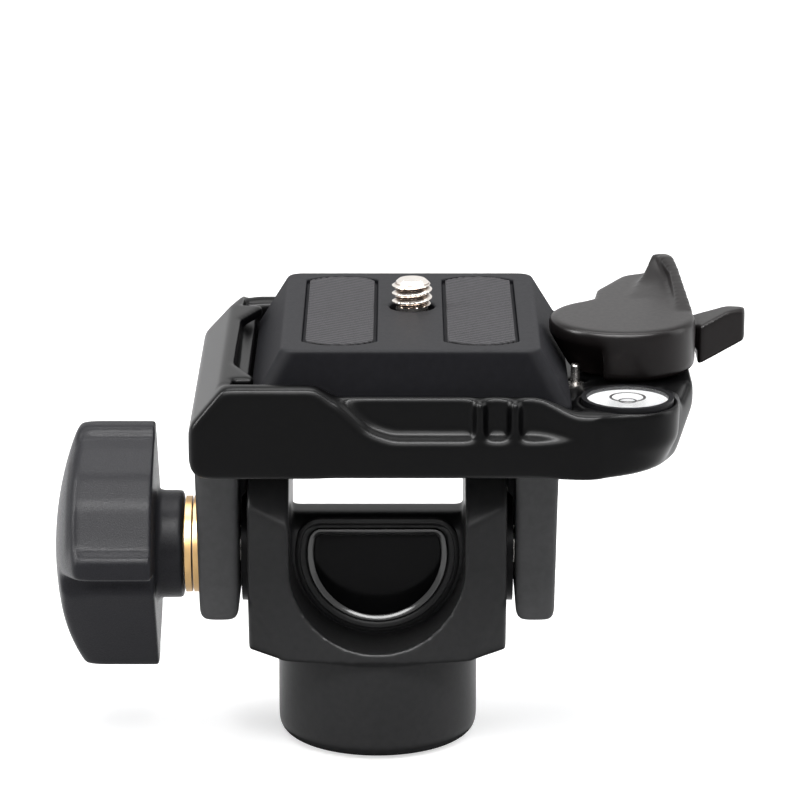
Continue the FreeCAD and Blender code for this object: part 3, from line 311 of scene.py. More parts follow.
def cup_boss():
    """Wall round the level's cup, which narrows towards the platform's lower edge."""
    centre = middle("bubble_cup")
    low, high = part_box("bubble_cup")
    radius = (high[0] - low[0]) / 2
    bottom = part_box("platform_casting")[0][2] + CUP_FOOT
    top = high[2] - 0.35 * MM
    outer = radius + CUP_WALL
    profile = [(AXIS, bottom), (radius - CUP_NARROW, bottom),
               (outer - 0.2 * MM, low[2] - 0.6 * MM), (outer, top - 0.4 * MM),
               (outer - 0.1 * MM, top), (radius, top), (radius, low[2]), (AXIS, low[2])]
    return lathe(profile, centre, 72)


def leg_shoulders():
    """Small steps at the roots of the legs, above the friction washers."""
    parts = []
    for side in ("left", "right"):
        low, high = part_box("friction_washer_" + side)
        start = low[0] - (SHOULDER_ROOT if side == "left" else -SHOULDER_INSET)
        end = high[0] + (SHOULDER_ROOT if side == "right" else -SHOULDER_INSET)
        corners = [(x, y, z) for x in (start, end)
                   for y in (-SHOULDER_DEPTH / 2, SHOULDER_DEPTH / 2)
                   for z in (high[2] + SHOULDER_GAP, LEG_TOP + SHOULDER_ROOT)]
        faces = [(0, 1, 3, 2), (4, 5, 7, 6), (0, 1, 5, 4),
                 (2, 3, 7, 6), (0, 2, 6, 4), (1, 3, 7, 5)]
        parts.append((corners, faces))
    return joined(*parts)


def deepen_field(points):
    """Makes the field of the front rail deeper, and lets it run out towards the level."""
    x = points[:, 0] / MM
    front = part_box("platform_casting")[0][1]
    depth = (points[:, 1] - front) / MM
    shown = FIELD_DEPTH + (FIELD_SHOWN - FIELD_DEPTH) * fade(x, *FIELD_LEFT)
    shown *= 1 - FIELD_GONE * fade(x, *FIELD_RUNOUT)
    shown += (FIELD_DEPTH - shown) * fade(x, *FIELD_END)
    outer = depth * shown / FIELD_DEPTH
    thinner = (RAIL_THICK - shown) / (RAIL_THICK - FIELD_DEPTH)
    inner = RAIL_THICK - (RAIL_THICK - depth) * thinner
    moved = front + np.where(depth < FIELD_DEPTH, outer, inner) * MM
    rail = (depth > 0) & (depth < RAIL_THICK)
    points[:, 1] = np.where(rail, moved, points[:, 1])


def lift_rear_rail(points):
    """Brings the left end of the rear rail level with the jaw; the places are in mm."""
    x, y, z = points.T / MM
    end = fade(y, 27.6, 28.8) * fade(z, 62.6, 63.4)
    end *= fade(x, -21.7, -20.5) * fade(-x, 8.0, 14.0)
    points[:, 2] += REAR_RISE * end


def widen_pin_bore(points):
    """Moves what is near the hold-open pin away from its axis."""
    offset = points[:, :2] - np.array(middle("hold_open_pin"))
    distance = np.hypot(offset[:, 0], offset[:, 1])
    play = PIN_PLAY * np.clip(1 - distance / PIN_REACH, 0.0, 1.0)
    points[:, :2] += offset * (play / np.maximum(distance, 0.1 * MM))[:, None]


def shape_platform(mesh):
    points = read_points(mesh)
    deepen_field(points)
    lift_rear_rail(points)
    widen_pin_bore(points)
    write_points(mesh, points)


def shape_knob(mesh):
    """Sinks the grip faces of the two wings, so that the beads at their ends stand out."""
    points = read_points(mesh)
    low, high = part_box("clamp_knob")
    axis = (low[2] + high[2]) / 2
    across = points[:, 1]
    up = points[:, 2] - axis
    distance = np.hypot(across, up)
    turn = np.degrees(np.arctan2(up, across)) % 180.0
    grip = fade(turn, *GRIP_START) * fade(-turn, *GRIP_END)
    grip *= fade(distance / MM, *GRIP_RADIUS)
    factor = 1 - grip * GRIP_SUNK / np.maximum(distance, MM)
    points[:, 1] *= factor
    points[:, 2] = axis + up * factor
    write_points(mesh, points)


def shape_pad(mesh):
    """Slanting ribs on top, and a slightly smaller outline."""
    points = read_points(mesh)
    low = points.min(axis=0)
    high = points.max(axis=0)
    centre = (low + high)[:2] / 2
    half = (high - low)[:2] / 2
    points[:, :2] = centre + (points[:, :2] - centre) * (1 - PAD_SHRINK / half)
    along = points[:, 0] * math.sin(PAD_SLANT) + points[:, 1] * math.cos(PAD_SLANT)
    root = 0.5 + 0.5 * np.cos(TURN * along / PAD_PITCH)
    top = points[:, 2] > high[2] - PAD_TOP
    points[:, 2] -= np.where(top, PAD_RIB * root, 0.0)
    write_points(mesh, points)


def base_share(points):
    """Soft outer facets, and a crisper rim of the bowl."""
    x, y, z = np.abs(points.T) / MM
    bowl = fade(-x, -15.6, -14.6) * fade(y, 5.0, 7.0) * fade(z, 14.5, 16.0)
    return SOFT - BOWL_CRISPER * bowl


def plate_share(points):
    """Soft outer edges, and crisp grooves round the pads."""
    share = np.full(len(points), SOFT)
    for side in ("left", "right"):
        low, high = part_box("plate_pad_" + side)
        near = np.ones(len(points), dtype=bool)
        for axis in range(2):
            near &= points[:, axis] > low[axis] - PAD_MARGIN
            near &= points[:, axis] < high[axis] + PAD_MARGIN
        share[near] = GROOVE
    return share


def knob_share(points):
    """Crisp beads and hub, and a soft outer rim."""
    x = points[:, 0] / MM
    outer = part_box("clamp_knob")[0][0] / MM
    return BEAD + (SOFT - BEAD) * fade(-x, -outer - 7.0, -outer - 4.0)


# Materials

def shader_node(tree, kind, **values):
    made = tree.nodes.new(kind)
    for key, value in values.items():
        if hasattr(made, key):
            setattr(made, key, value)
        else:
            made.inputs[key.replace("_", " ")].default_value = value
    return made


def new_material(name, **shader_values):
    material = bpy.data.materials.new(name)
    material.use_nodes = True
    tree = material.node_tree
    shader = tree.nodes["Principled BSDF"]
    for key, value in shader_values.items():
        shader.inputs[key.replace("_", " ")].default_value = value
    return material, tree, shader


def coordinates(tree):
    return tree.nodes.new("ShaderNodeTexCoord").outputs["Object"]


def grain(tree, scale, detail=3.0):
    noise = shader_node(tree, "ShaderNodeTexNoise", Scale=scale, Detail=detail)
    tree.links.new(coordinates(tree), noise.inputs["Vector"])
    return noise.outputs["Fac"]


def ramp(tree, source, stops):
    """Colour ramp through (position, colour) stops."""
    made = tree.nodes.new("ShaderNodeValToRGB")
    elements = made.color_ramp.elements
    while len(elements) < len(stops):
        elements.new(0.5)
    for element, (position, colour) in zip(elements, stops):
        element.position = position
        element.color = (*colour, 1.0)
    tree.links.new(source, made.inputs["Fac"])
    return made.outputs["Color"]


def ranged(tree, source, start, end, low=0.0, high=1.0):
    """Turns start into low and end into high, and stays there beyond them."""
    made = tree.nodes.new("ShaderNodeMapRange")
    made.inputs["From Min"].default_value = start
    made.inputs["From Max"].default_value = end
    made.inputs["To Min"].default_value = low
    made.inputs["To Max"].default_value = high
    tree.links.new(source, made.inputs["Value"])
    return made.outputs["Result"]


def spread(tree, source, low, high):
    """Stretches the middle of a noise to the range from low to high."""
    return ranged(tree, source, 0.35, 0.65, low, high)


def arithmetic(tree, operation, *values):
    """Math node on numbers and outputs of other nodes."""
    made = shader_node(tree, "ShaderNodeMath", operation=operation)
    for socket, value in zip(made.inputs, values):
        if isinstance(value, float):
            socket.default_value = value
        else:
            tree.links.new(value, socket)
    return made.outputs["Value"]


def bump(tree, shader, source, strength, distance):
    made = shader_node(tree, "ShaderNodeBump", Strength=strength, Distance=distance)
    tree.links.new(source, made.inputs["Height"])
    tree.links.new(made.outputs["Normal"], shader.inputs["Normal"])


def blend_colours(tree, factor, first, second):
    """Mix of two colours, each a tuple or an output of another node."""
    mix = shader_node(tree, "ShaderNodeMix", data_type="RGBA")
    tree.links.new(factor, mix.inputs["Factor"])
    for socket, value in (("A", first), ("B", second)):
        if isinstance(value, tuple):
            mix.inputs[socket].default_value = (*value, 1.0)
        else:
            tree.links.new(value, mix.inputs[socket])
    return mix.outputs["Result"]


def scaled(colour, factor):
    return tuple(min(1.0, c * factor) for c in colour)


def mottled(tree, colour):
    return ramp(tree, grain(tree, 900.0, 4.0), ((0.3, colour), (0.7, scaled(colour, 1.15))))


def coated_metal(name, colour, roughness, grain_scale, depth, sheen, dull=-0.35, bright=-0.10):
    """Painted alloy with fine orange-peel, and no gloss where the normal sinks to dull."""
    material, tree, shader = new_material(name)
    tree.links.new(mottled(tree, colour), shader.inputs["Base Color"])
    geometry = tree.nodes.new("ShaderNodeNewGeometry")
    facing = tree.nodes.new("ShaderNodeSeparateXYZ")
    tree.links.new(geometry.outputs["Normal"], facing.inputs["Vector"])
    gloss = ranged(tree, facing.outputs["Z"], dull, bright, 0.0, sheen)
    tree.links.new(gloss, shader.inputs["Specular IOR Level"])
    rough = spread(tree, grain(tree, grain_scale * 0.5), roughness - 0.015, roughness + 0.02)
    tree.links.new(rough, shader.inputs["Roughness"])
    bump(tree, shader, grain(tree, grain_scale, 4.0), 0.3, depth)
    return material


def below(tree, height, soft):
    """1 below a height of the object, 0 above it."""
    parts = tree.nodes.new("ShaderNodeSeparateXYZ")
    tree.links.new(coordinates(tree), parts.inputs["Vector"])
    return ranged(tree, parts.outputs["Z"], height - soft, height + soft, 1.0, 0.0)


def platform_coat(name):
    """Satin black above, and below it the duller legs, painted a lighter grey: painted light for
    the front light on them.
    """
    material, tree, shader = new_material(name, Specular_IOR_Level=0.08)
    legs_painted_light_and_dull = below(tree, LEG_TOP, 0.3 * MM)
    body = mottled(tree, (0.0012, 0.0012, 0.0014))
    # painted light: the lighter grey of the legs stands for the front light that falls on them
    colours = blend_colours(tree, legs_painted_light_and_dull, body, mottled(tree, (0.074, 0.074, 0.075)))
    tree.links.new(colours, shader.inputs["Base Color"])
    tree.links.new(ranged(tree, legs_painted_light_and_dull, 0.0, 1.0, 0.30, 0.62), shader.inputs["Roughness"])
    bump(tree, shader, grain(tree, 2600.0, 4.0), 0.25, 0.00002)
    return material


def grained_plastic(name, colour, roughness, scale, depth):
    """Moulded plastic with the fine pits of an etched mould."""
    material, tree, shader = new_material(name, Specular_IOR_Level=0.06)
    pits = shader_node(tree, "ShaderNodeTexVoronoi", Scale=scale)
    tree.links.new(coordinates(tree), pits.inputs["Vector"])
    fine = grain(tree, scale * 1.7)
    bump(tree, shader, arithmetic(tree, "ADD", pits.outputs["Distance"], fine), 0.6, depth)
    colours = ramp(tree, fine, ((0.3, colour), (0.75, scaled(colour, 1.6))))
    tree.links.new(colours, shader.inputs["Base Color"])
    rough = spread(tree, grain(tree, scale * 0.5), roughness - 0.02, roughness + 0.03)
    tree.links.new(rough, shader.inputs["Roughness"])
    return material


def ribbed_rubber(name, colour, pitch, slant, depth):
    """Rubber with painted shade between its slanting ribs, and finely pitted."""
    material, tree, shader = new_material(name, Specular_IOR_Level=0.08)
    across = shader_node(tree, "ShaderNodeVectorMath", operation="DOT_PRODUCT")
    across.inputs[1].default_value = (math.sin(slant) / pitch, math.cos(slant) / pitch, 0.0)
    tree.links.new(coordinates(tree), across.inputs[0])
    wander = grain(tree, 700.0)
    turns = arithmetic(tree, "MULTIPLY_ADD", wander, 0.12, across.outputs["Value"])
    rib_shade = arithmetic(tree, "PINGPONG", turns, 0.5)
    speck = grain(tree, 5200.0, 2.0)
    height = arithmetic(tree, "MULTIPLY_ADD", speck, 0.35, rib_shade)
    bump(tree, shader, speck, 0.9, depth)
    # painted shade: darker in the grooves between the ribs, with random specks
    colours = ramp(tree, height, ((0.2, scaled(colour, 0.12)), (0.65, colour)))
    tree.links.new(colours, shader.inputs["Base Color"])
    rough = spread(tree, speck, 0.62, 0.8)
    tree.links.new(rough, shader.inputs["Roughness"])
    return material


def turned_metal(name, colour, roughness, axis):
    """Metal with the fine rings that a lathe leaves about its axis."""
    material, tree, shader = new_material(name, Metallic=1.0)
    wave = shader_node(tree, "ShaderNodeTexWave", wave_type="RINGS", rings_direction=axis,
                       Scale=2600.0, Distortion=1.5, Detail=2.0)
    tree.links.new(coordinates(tree), wave.inputs["Vector"])
    stain = grain(tree, 420.0)
    colours = ramp(tree, stain, ((0.3, scaled(colour, 0.86)), (0.7, colour)))
    tree.links.new(colours, shader.inputs["Base Color"])
    rough = spread(tree, stain, roughness - 0.04, roughness + 0.06)
    tree.links.new(rough, shader.inputs["Roughness"])
    bump(tree, shader, wave.outputs["Fac"], 0.1, 0.000008)
    return material


def threaded_steel(name, centre, root, crest, tip):
    """Painted highlight on the turns and tip, and painted shade in the roots, by the distance
    from the screw's axis.
    """
    material, tree, shader = new_material(name, Metallic=1.0)
    offset = shader_node(tree, "ShaderNodeVectorMath", operation="SUBTRACT")
    offset.inputs[1].default_value = (*centre, 0.0)
    tree.links.new(coordinates(tree), offset.inputs[0])
    level = shader_node(tree, "ShaderNodeVectorMath", operation="MULTIPLY")
    level.inputs[1].default_value = (1.0, 1.0, 0.0)
    tree.links.new(offset.outputs["Vector"], level.inputs[0])
    length = shader_node(tree, "ShaderNodeVectorMath", operation="LENGTH")
    tree.links.new(level.outputs["Vector"], length.inputs[0])
    turns = ranged(tree, length.outputs["Value"], root, crest)
    parts = tree.nodes.new("ShaderNodeSeparateXYZ")
    tree.links.new(coordinates(tree), parts.inputs["Vector"])
    end = arithmetic(tree, "GREATER_THAN", parts.outputs["Z"], tip)
    bright = arithmetic(tree, "MAXIMUM", end, turns)
    # painted shade and highlight: dark brown in the roots, bright on the crests and at the tip
    stops = ((0.0, (0.05, 0.03, 0.02)), (0.35, (0.30, 0.24, 0.20)), (0.7, (0.80, 0.75, 0.70)))
    colours = ramp(tree, bright, stops)
    tree.links.new(colours, shader.inputs["Base Color"])
    rough = spread(tree, grain(tree, 900.0), 0.16, 0.26)
    tree.links.new(rough, shader.inputs["Roughness"])
    return material


def smooth_coat(name, colour, roughness, **extra):
    material, tree, shader = new_material(name, **extra)
    colours = ramp(tree, grain(tree, 160.0), ((0.3, colour), (0.7, scaled(colour, 1.08))))
    tree.links.new(colours, shader.inputs["Base Color"])
    rough = spread(tree, grain(tree, 500.0, 4.0), roughness * 0.85, roughness * 1.2)
    tree.links.new(rough, shader.inputs["Roughness"])
    return material


def clear_material(name, colour, opacity):
    """Thin clear stuff that shows what lies under it."""
    material, tree, shader = new_material(name, Roughness=0.03, Alpha=opacity,
                                          Specular_IOR_Level=0.1)
    tint = ramp(tree, grain(tree, 90.0), ((0.3, colour), (0.7, scaled(colour, 1.02))))
    tree.links.new(tint, shader.inputs["Base Color"])
    return material


CASTING = platform_coat("casting_coat")
BASE_COAT = coated_metal("base_coat", (0.025, 0.025, 0.0255), roughness=0.36,
                         grain_scale=3000.0, depth=0.00002, sheen=0.10)
PLATE_COAT = coated_metal("plate_coat", (0.0135, 0.0135, 0.0155), roughness=0.58,
                          grain_scale=3600.0, depth=0.00003, sheen=0.085, dull=0.3, bright=0.95)
LEVER_COAT = coated_metal("lever_coat", (0.008, 0.0065, 0.0065), roughness=0.30,
                          grain_scale=2400.0, depth=0.00001, sheen=0.12)
KNOB = grained_plastic("knob_grain", (0.019, 0.019, 0.0215), roughness=0.34,
                       scale=4200.0, depth=0.00003)
SLEEVE = grained_plastic("plain_plastic", (0.010, 0.010, 0.011), roughness=0.35,
                         scale=5200.0, depth=0.00001)
PAD = ribbed_rubber("pad_rubber", (0.082, 0.080, 0.085), PAD_PITCH, PAD_SLANT, depth=0.0001)
INLAY = smooth_coat("inlay_gloss", (0.004, 0.004, 0.0045), 0.12, Specular_IOR_Level=0.05)
# painted highlight: a lighter, glossier copy of the inlay's black, for the bright line round the
# rim
INLAY_RIM_HIGHLIGHT = smooth_coat("inlay_rim", (0.02, 0.02, 0.02), 0.16, Specular_IOR_Level=0.6)
BRASS = turned_metal("brass_turned", (0.48, 0.31, 0.14), 0.34, "X")
STEEL = turned_metal("steel_turned", (0.52, 0.50, 0.48), 0.26, "Z")
SPRING = turned_metal("spring_wire", (0.58, 0.58, 0.58), 0.28, "Z")
BUSH = grained_plastic("bush_plastic", (0.60, 0.58, 0.53), roughness=0.50,
                       scale=4000.0, depth=0.00001)
DIAL = smooth_coat("dial_white", (0.93, 0.93, 0.93), 0.35)
# dark ink of the printed circle, and painted shade for the bubble's edge
INK_AND_BUBBLE_SHADE = smooth_coat("ink_and_bubble_shade", (0.03, 0.025, 0.025), 0.45)
LIQUID = clear_material("level_liquid", (0.94, 0.99, 0.95), 0.03)
LENS = clear_material("level_lens", (0.95, 0.96, 0.96), 0.05)
AIR = clear_material("level_air", (0.9, 0.95, 0.92), 0.03)

FINISH = {
    "platform_casting": CASTING, "base_casting": BASE_COAT, "base_thread_insert": STEEL,
    "inlay_disc": INLAY, "tilt_bush_left": BUSH, "tilt_bush_right": BUSH,
    "friction_washer_left": SLEEVE, "friction_washer_right": SLEEVE, "clamp_bolt": STEEL,
    "brass_thrust_washer": BRASS, "brass_spacer_washer": BRASS, "clamp_knob": KNOB,
    "knob_insert": BRASS, "bubble_cup": SLEEVE, "bubble_dial": DIAL, "bubble_liquid": LIQUID,
    "air_bubble": AIR, "bubble_lens": LENS, "quick_release_plate": PLATE_COAT,
    "plate_pad_left": PAD, "plate_pad_right": PAD, "screw_retaining_ring": SPRING,
    "camera_screw": STEEL, "release_lever": LEVER_COAT, "lever_pivot_pin": STEEL,
    "lever_pivot_washer": STEEL, "lever_pivot_clip": SPRING, "lever_spring": SPRING,
    "safety_catch": LEVER_COAT, "catch_pivot_pin": STEEL, "catch_pivot_clip": SPRING,
    "catch_spring": SPRING, "hold_open_pin": STEEL, "hold_open_spring": SPRING,
    "hold_open_plug": SLEEVE,
}


def dress_nodes():
    for name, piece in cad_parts.items():
        piece.data.materials.clear()
        piece.data.materials.append(FINISH[name])
        piece.data.shade_smooth()
        piece.data.set_sharp_from_angle(angle=math.radians(28))


# Detailed pieces

def add_camera_screw():
    """Slotted head, plain neck and real thread turns up to a bevelled tip."""
    low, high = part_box("camera_screw")
    centre = middle("camera_screw")
    radius = (high[0] - low[0]) / 2
    columns = 96
    rows = 88
    bottom = high[2] - SCREW_THREAD
    slot_top = low[2] + SCREW_SLOT_DEPTH
    head_top = low[2] + SCREW_HEAD
    heights = [bottom + SCREW_THREAD * i / rows for i in range(rows + 1)]
    verts = []
    for height in heights:
        for c in range(columns):
            angle = TURN * c / columns
            size = thread_radius(height, angle, SCREW_PITCH, SCREW_MINOR, SCREW_MAJOR)
            size = min(size, SCREW_TIP + (high[2] - height) * SCREW_BEVEL,
                       SCREW_MINOR + (height - bottom) * SCREW_RUNOUT)
            verts.append((centre[0] + size * math.cos(angle),
                          centre[1] + size * math.sin(angle), height))
    faces = grid_faces(rows + 1, columns)
    faces.append(tuple(range(columns)))
    faces.append(tuple(range(rows * columns, (rows + 1) * columns)))
    body = lathe([(AXIS, slot_top), (radius, slot_top), (radius, head_top - 0.2 * MM),
                  (radius - 0.2 * MM, head_top), (SCREW_MINOR, head_top), (SCREW_MINOR, bottom),
                  (AXIS, bottom)], centre)
    head = half_discs(centre, radius, SCREW_SLOT, low[2], slot_top)
    turns = mesh_from("camera_screw_thread", verts, faces, smooth_angle=32)
    coat = threaded_steel("thread_steel", centre, SCREW_MINOR - 0.1 * MM, SCREW_MAJOR - 0.05 * MM,
                          high[2] - 0.5 * MM)
    thread = add_object("camera_screw_thread", turns, coat, "screw")
    mesh = mesh_from("camera_screw_turned", *joined(body, head), smooth_angle=32)
    turned = add_object("camera_screw_turned", mesh, STEEL, "screw")
    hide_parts("camera_screw")
    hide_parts("camera_screw")


def add_base_insert():
    """Flanged steel insert with the thread that the tripod's stud runs in."""
    low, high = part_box("base_thread_insert")
    flange = (high[0] - low[0]) / 2
    columns = 96
    rows = 120
    verts = []
    for r in range(rows + 1):
        height = low[2] + (high[2] - low[2]) * r / rows
        end = min(height - low[2], high[2] - height)
        for c in range(columns):
            angle = TURN * c / columns
            size = thread_radius(height, angle, INSERT_PITCH, INSERT_MINOR, INSERT_MAJOR)
            size = max(size, INSERT_MAJOR - end * INSERT_MOUTH)
            verts.append((size * math.cos(angle), size * math.sin(angle), height))
    outer = [(INSERT_MAJOR, low[2]), (flange, low[2]), (flange, low[2] + INSERT_FLANGE),
             (INSERT_BODY, low[2] + INSERT_FLANGE), (INSERT_BODY, high[2]),
             (INSERT_MAJOR, high[2])]
    for radius, height in outer:
        for c in range(columns):
            angle = TURN * c / columns
            verts.append((radius * math.cos(angle), radius * math.sin(angle), height))
    inner = grid_faces(rows + 1, columns)
    shift = (rows + 1) * columns
    shell = [tuple(shift + i for i in face) for face in grid_faces(len(outer), columns)]
    mesh = mesh_from("base_insert_threaded", verts, inner + shell, smooth_angle=32)
    piece = add_object("base_insert_threaded", mesh, STEEL, "base")
    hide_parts("base_thread_insert")


def d_outline(radius, rise, corner, steps=72, corner_steps=8):
    """Circle with a flat top edge and rounded corners, as (x, z) about its centre."""
    corner = max(corner, 0.2 * MM)
    level = rise - corner
    across = math.sqrt((radius - corner) ** 2 - level ** 2)
    lift = math.atan2(level, across)
    outline = []
    for i in range(corner_steps):
        angle = math.pi / 2 + (lift - math.pi / 2) * i / corner_steps
        outline.append((across + corner * math.cos(angle), level + corner * math.sin(angle)))
    for i in range(steps + 1):
        angle = lift - (math.pi + 2 * lift) * i / steps
        outline.append((radius * math.cos(angle), radius * math.sin(angle)))
    for i in range(corner_steps):
        angle = math.pi - lift + (lift - math.pi / 2) * (i + 1) / corner_steps
        outline.append((-across + corner * math.cos(angle), level + corner * math.sin(angle)))
    return outline


def inlay_form():
    """Height of the inlay's centre, its radius, and the rise of its flat edge."""
    low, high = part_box("inlay_disc")
    radius = (high[0] - low[0]) / 2
    centre = low[2] + radius
    return centre, radius, high[2] - centre


def d_shell(profile, closed):
    """D outlines at (inset, y) stops, closed to a ring or with two ends."""
    centre, radius, rise = inlay_form()
    verts = []
    for inset, y in profile:
        outline = d_outline(radius - inset, rise - inset, INLAY_CORNER - inset)
        verts += [(x, y, centre + z) for x, z in outline]
    columns = len(verts) // len(profile)
    faces = grid_faces(len(profile), columns)
    if closed:
        last = (len(profile) - 1) * columns
        faces += [(last + c, last + (c + 1) % columns, (c + 1) % columns, c)
                  for c in range(columns)]
    else:
        faces.append(tuple(range(columns)))
        faces.append(tuple(range(len(verts) - columns, len(verts))))
    return verts, faces


def add_inlay():
    """Blank gloss disc with a bevelled rim round it."""
    low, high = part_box("inlay_disc")
    front = low[1]
    back = high[1]
    face_y = front + INLAY_DISH
    width = INLAY_RIM_WIDTH
    stops = [(0.0, back), (0.0, front + 0.25 * MM), (0.08 * MM, front + 0.06 * MM),
             (0.22 * MM, front), (0.36 * MM, front + 0.03 * MM), (width - 0.08 * MM, face_y),
             (width, face_y + 0.08 * MM), (width, back)]
    ring = mesh_from("inlay_rim", *d_shell(stops, True), smooth_angle=40)
    rim = add_object("inlay_rim", ring, INLAY_RIM_HIGHLIGHT, "base")
    stops = [(width, back), (width, face_y + 0.06 * MM), (width + 0.2 * MM, face_y)]
    disc = mesh_from("inlay_face", *d_shell(stops, False), smooth_angle=40)
    face = add_object("inlay_face", disc, INLAY, "base")
    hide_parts("inlay_disc")
    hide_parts("inlay_disc")


def add_bowl_step():
    """Low step of the bowl that runs round the inlay."""
    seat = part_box("inlay_disc")[1][1] - 0.8 * MM
    stops = [(-0.9 * MM, seat + 0.3 * MM), (-1.0 * MM, seat - 0.35 * MM),
             (-1.15 * MM, seat - 0.5 * MM), (-1.5 * MM, seat - 0.5 * MM),
             (-1.75 * MM, seat - 0.35 * MM), (-1.9 * MM, seat + 0.3 * MM)]
    ring = mesh_from("bowl_step", *d_shell(stops, True), smooth_angle=40)
    add_object("bowl_step", ring, BASE_COAT, "base")


def add_level_dial():
    """White dish of the level, whose wall rises round the liquid to the lens."""
    low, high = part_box("bubble_dial")
    centre = middle("bubble_dial")
    edge = (high[0] - low[0]) / 2
    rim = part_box("bubble_lens")[0][2] - 0.02 * MM
    floor = high[2]
    profile = [(AXIS, low[2]), (edge, low[2]), (edge, rim), (edge - DIAL_WALL, rim),
               (edge - 1.1 * MM, floor + 0.1 * MM), (edge - 1.5 * MM, floor), (AXIS, floor)]
    mesh = mesh_from("level_dial", *lathe(profile, centre), smooth_angle=50)
    dial = add_object("level_dial", mesh, DIAL, "platform")
    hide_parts("bubble_dial")
    liquid_top = rim - 0.02 * MM
    profile = [(AXIS, floor + 0.02 * MM), (edge - 1.5 * MM, floor + 0.02 * MM),
               (edge - 0.4 * MM, liquid_top), (AXIS, liquid_top)]
    mesh = mesh_from("level_liquid", *lathe(profile, centre), smooth_angle=40)
    liquid = add_object("level_liquid", mesh, LIQUID, "platform")
    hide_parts("bubble_liquid")


def add_level_marks():
    """Printed circle on the lens, and under the lens a dark ring, painted shade for the bubble's
    edge, all that shows of the bubble.
    """
    centre = middle("bubble_lens")
    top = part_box("bubble_lens")[1][2]
    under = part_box("bubble_lens")[0][2]
    # the second ring is painted shade: the dark edge that the bubble shows
    for name, radius, width, low in (
            ("level_circle", OUTER_RING, OUTER_WIDTH, top + 0.01 * MM),
            ("bubble_edge_shade", BUBBLE_RING, BUBBLE_WIDTH, under - 0.06 * MM)):
        inner = radius - width / 2
        outer = radius + width / 2
        high = low + 0.02 * MM
        profile = [(inner, low), (outer, low), (outer, high), (inner, high)]
        mesh = mesh_from(name, *lathe(profile, centre, 72))
        ring = add_object(name, mesh, INK_AND_BUBBLE_SHADE, "platform")
        if name == "bubble_edge_shade":
            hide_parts("air_bubble")


# Camera, light and floor

def add_camera():
    data = bpy.data.cameras.new("camera")
    data.sensor_width = 36.0
    data.lens = CAMERA_LENS
    camera = bpy.data.objects.new("camera", data)
    camera.location = CAMERA_PLACE
    camera.rotation_euler = (CAMERA_TILT, 0.0, 0.0)
    bpy.context.scene.collection.objects.link(camera)
    bpy.context.scene.camera = camera


# Soft lights: name, place, height aimed at, width, height and power. A box lights the object,
# and a strip only shows in its coats and metal.
LAMPS = (
    ("top_box", (0.0, 0.22, 0.75), 0.05, 0.5, 0.4, 4.0),
    ("front_box", (0.0, -0.50, 0.80), 0.03, 0.5, 0.25, 4.0),
    ("left_box", (-0.7, -0.05, 0.35), 0.04, 0.35, 0.6, 2.5),
    ("right_box", (0.7, 0.10, 0.30), 0.04, 0.3, 0.6, 3.0),
    ("edge_strip", (0.0, -0.45, 0.75), 0.05, 1.2, 0.16, 36.0),
    ("back_strip", (0.0, 0.10, 0.80), 0.05, 1.2, 0.12, 7.0),
    ("left_strip", (-0.60, -0.05, 0.42), 0.04, 0.08, 0.5, 8.0),
    ("front_strip", (-0.05, -0.85, 0.62), 0.04, 1.0, 0.30, 13.0),
)


def add_lamps():
    for name, place, aim, width, height, power in LAMPS:
        data = bpy.data.lights.new(name, "AREA")
        data.shape = "RECTANGLE"
        data.size = width
        data.size_y = height
        data.energy = power
        lamp = bpy.data.objects.new(name, data)
        lamp.location = place
        direction = Vector((0.0, 0.0, aim)) - Vector(place)
        lamp.rotation_euler = direction.to_track_quat("-Z", "Y").to_euler()
        lamp.visible_camera = False
        lamp.visible_diffuse = not name.endswith("_strip")
        bpy.context.scene.collection.objects.link(lamp)


def seen_directly(tree):
    """1 for rays from the camera, and for what metal and glass show of their surroundings."""
    path = tree.nodes.new("ShaderNodeLightPath")
    total = path.outputs["Is Camera Ray"]
    for kind in ("Is Glossy Ray", "Is Transmission Ray"):
        total = arithmetic(tree, "MAXIMUM", total, path.outputs[kind])
    return total


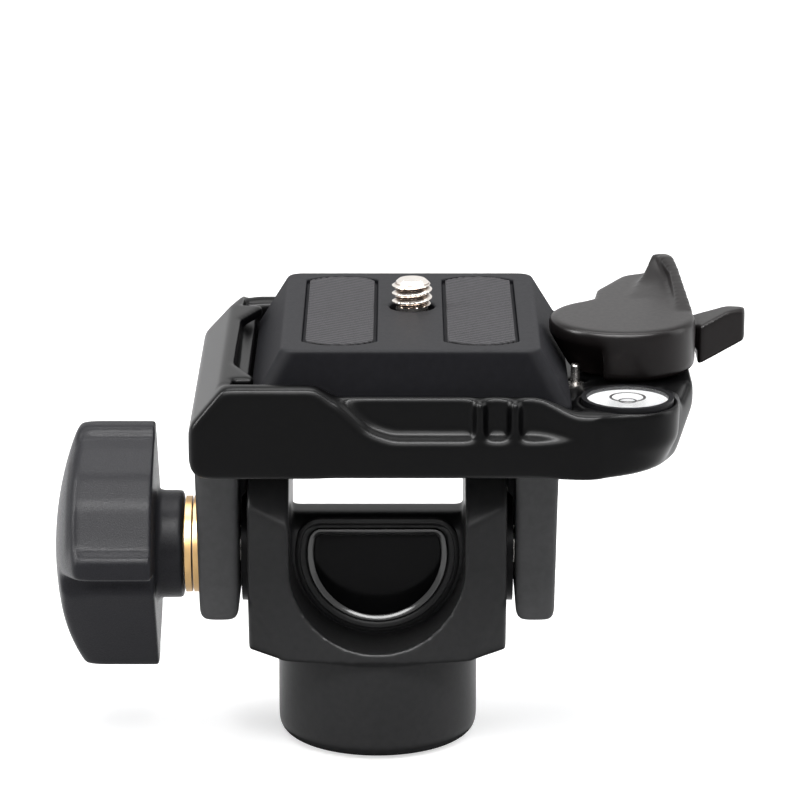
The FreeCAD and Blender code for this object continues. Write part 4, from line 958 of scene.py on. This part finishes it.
def add_world():
    """White where it is seen, and a dim even light on the object."""
    world = bpy.data.worlds.new("studio")
    world.use_nodes = True
    bpy.context.scene.world = world
    tree = world.node_tree
    dim = tree.nodes["Background"]
    dim.inputs["Color"].default_value = (0.95, 0.96, 1.0, 1.0)
    dim.inputs["Strength"].default_value = WORLD_LIGHT
    white = shader_node(tree, "ShaderNodeBackground")
    white.inputs["Color"].default_value = (1.0, 1.0, 1.0, 1.0)
    mix = tree.nodes.new("ShaderNodeMixShader")
    tree.links.new(seen_directly(tree), mix.inputs["Fac"])
    tree.links.new(dim.outputs["Background"], mix.inputs[1])
    tree.links.new(white.outputs["Background"], mix.inputs[2])
    tree.links.new(mix.outputs["Shader"], tree.nodes["World Output"].inputs["Surface"])


def add_floor():
    """Pale floor that shows white and keeps the object's shadow."""
    half = FLOOR_HALF
    mesh = bpy.data.meshes.new("floor")
    mesh.from_pydata([(-half, -half, 0), (half, -half, 0), (half, half, 0), (-half, half, 0)],
                     [], [(0, 1, 2, 3)])
    floor = bpy.data.objects.new("floor", mesh)
    bpy.context.scene.collection.objects.link(floor)
    floor.location.z = -0.0001
    material, tree, shader = new_material("floor_white", Roughness=0.9)
    shader.inputs["Base Color"].default_value = (FLOOR_GREY, FLOOR_GREY, FLOOR_GREY, 1.0)
    shader.inputs["Specular IOR Level"].default_value = 0.0
    shader.inputs["Emission Color"].default_value = (1.0, 1.0, 1.0, 1.0)
    glow = arithmetic(tree, "MULTIPLY", seen_directly(tree), FLOOR_GLOW)
    tree.links.new(glow, shader.inputs["Emission Strength"])
    floor.data.materials.append(material)


bpy.context.scene.view_settings.view_transform = "Standard"
dress_nodes()
add_camera()
add_world()
add_floor()
add_lamps()

rounded_casting("platform_casting", "platform", voxel=0.3, radius=1.4,
                faces=130000, share=platform_share, shaping=shape_platform,
                extra=joined(cup_boss(), leg_shoulders()))
rounded_casting("base_casting", "base", voxel=0.3, radius=1.0,
                faces=120000, share=base_share)
rounded_casting("quick_release_plate", "plate", voxel=0.2, radius=0.5,
                faces=90000, share=plate_share)
for side in ("left", "right"):
    rounded_casting("plate_pad_" + side, "plate", voxel=0.15, radius=0.1,
                    faces=50000, share=0.3, shaping=shape_pad)
rounded_casting("release_lever", "lever", voxel=0.22, radius=0.8, faces=90000)
rounded_casting("safety_catch", "catch", voxel=0.2, radius=0.7, faces=16000)
rounded_casting("clamp_knob", "knob", voxel=0.22, radius=1.6,
                faces=60000, share=knob_share, shaping=shape_knob)
add_camera_screw()
add_base_insert()
add_inlay()
add_bowl_step()
add_level_dial()
add_level_marks()
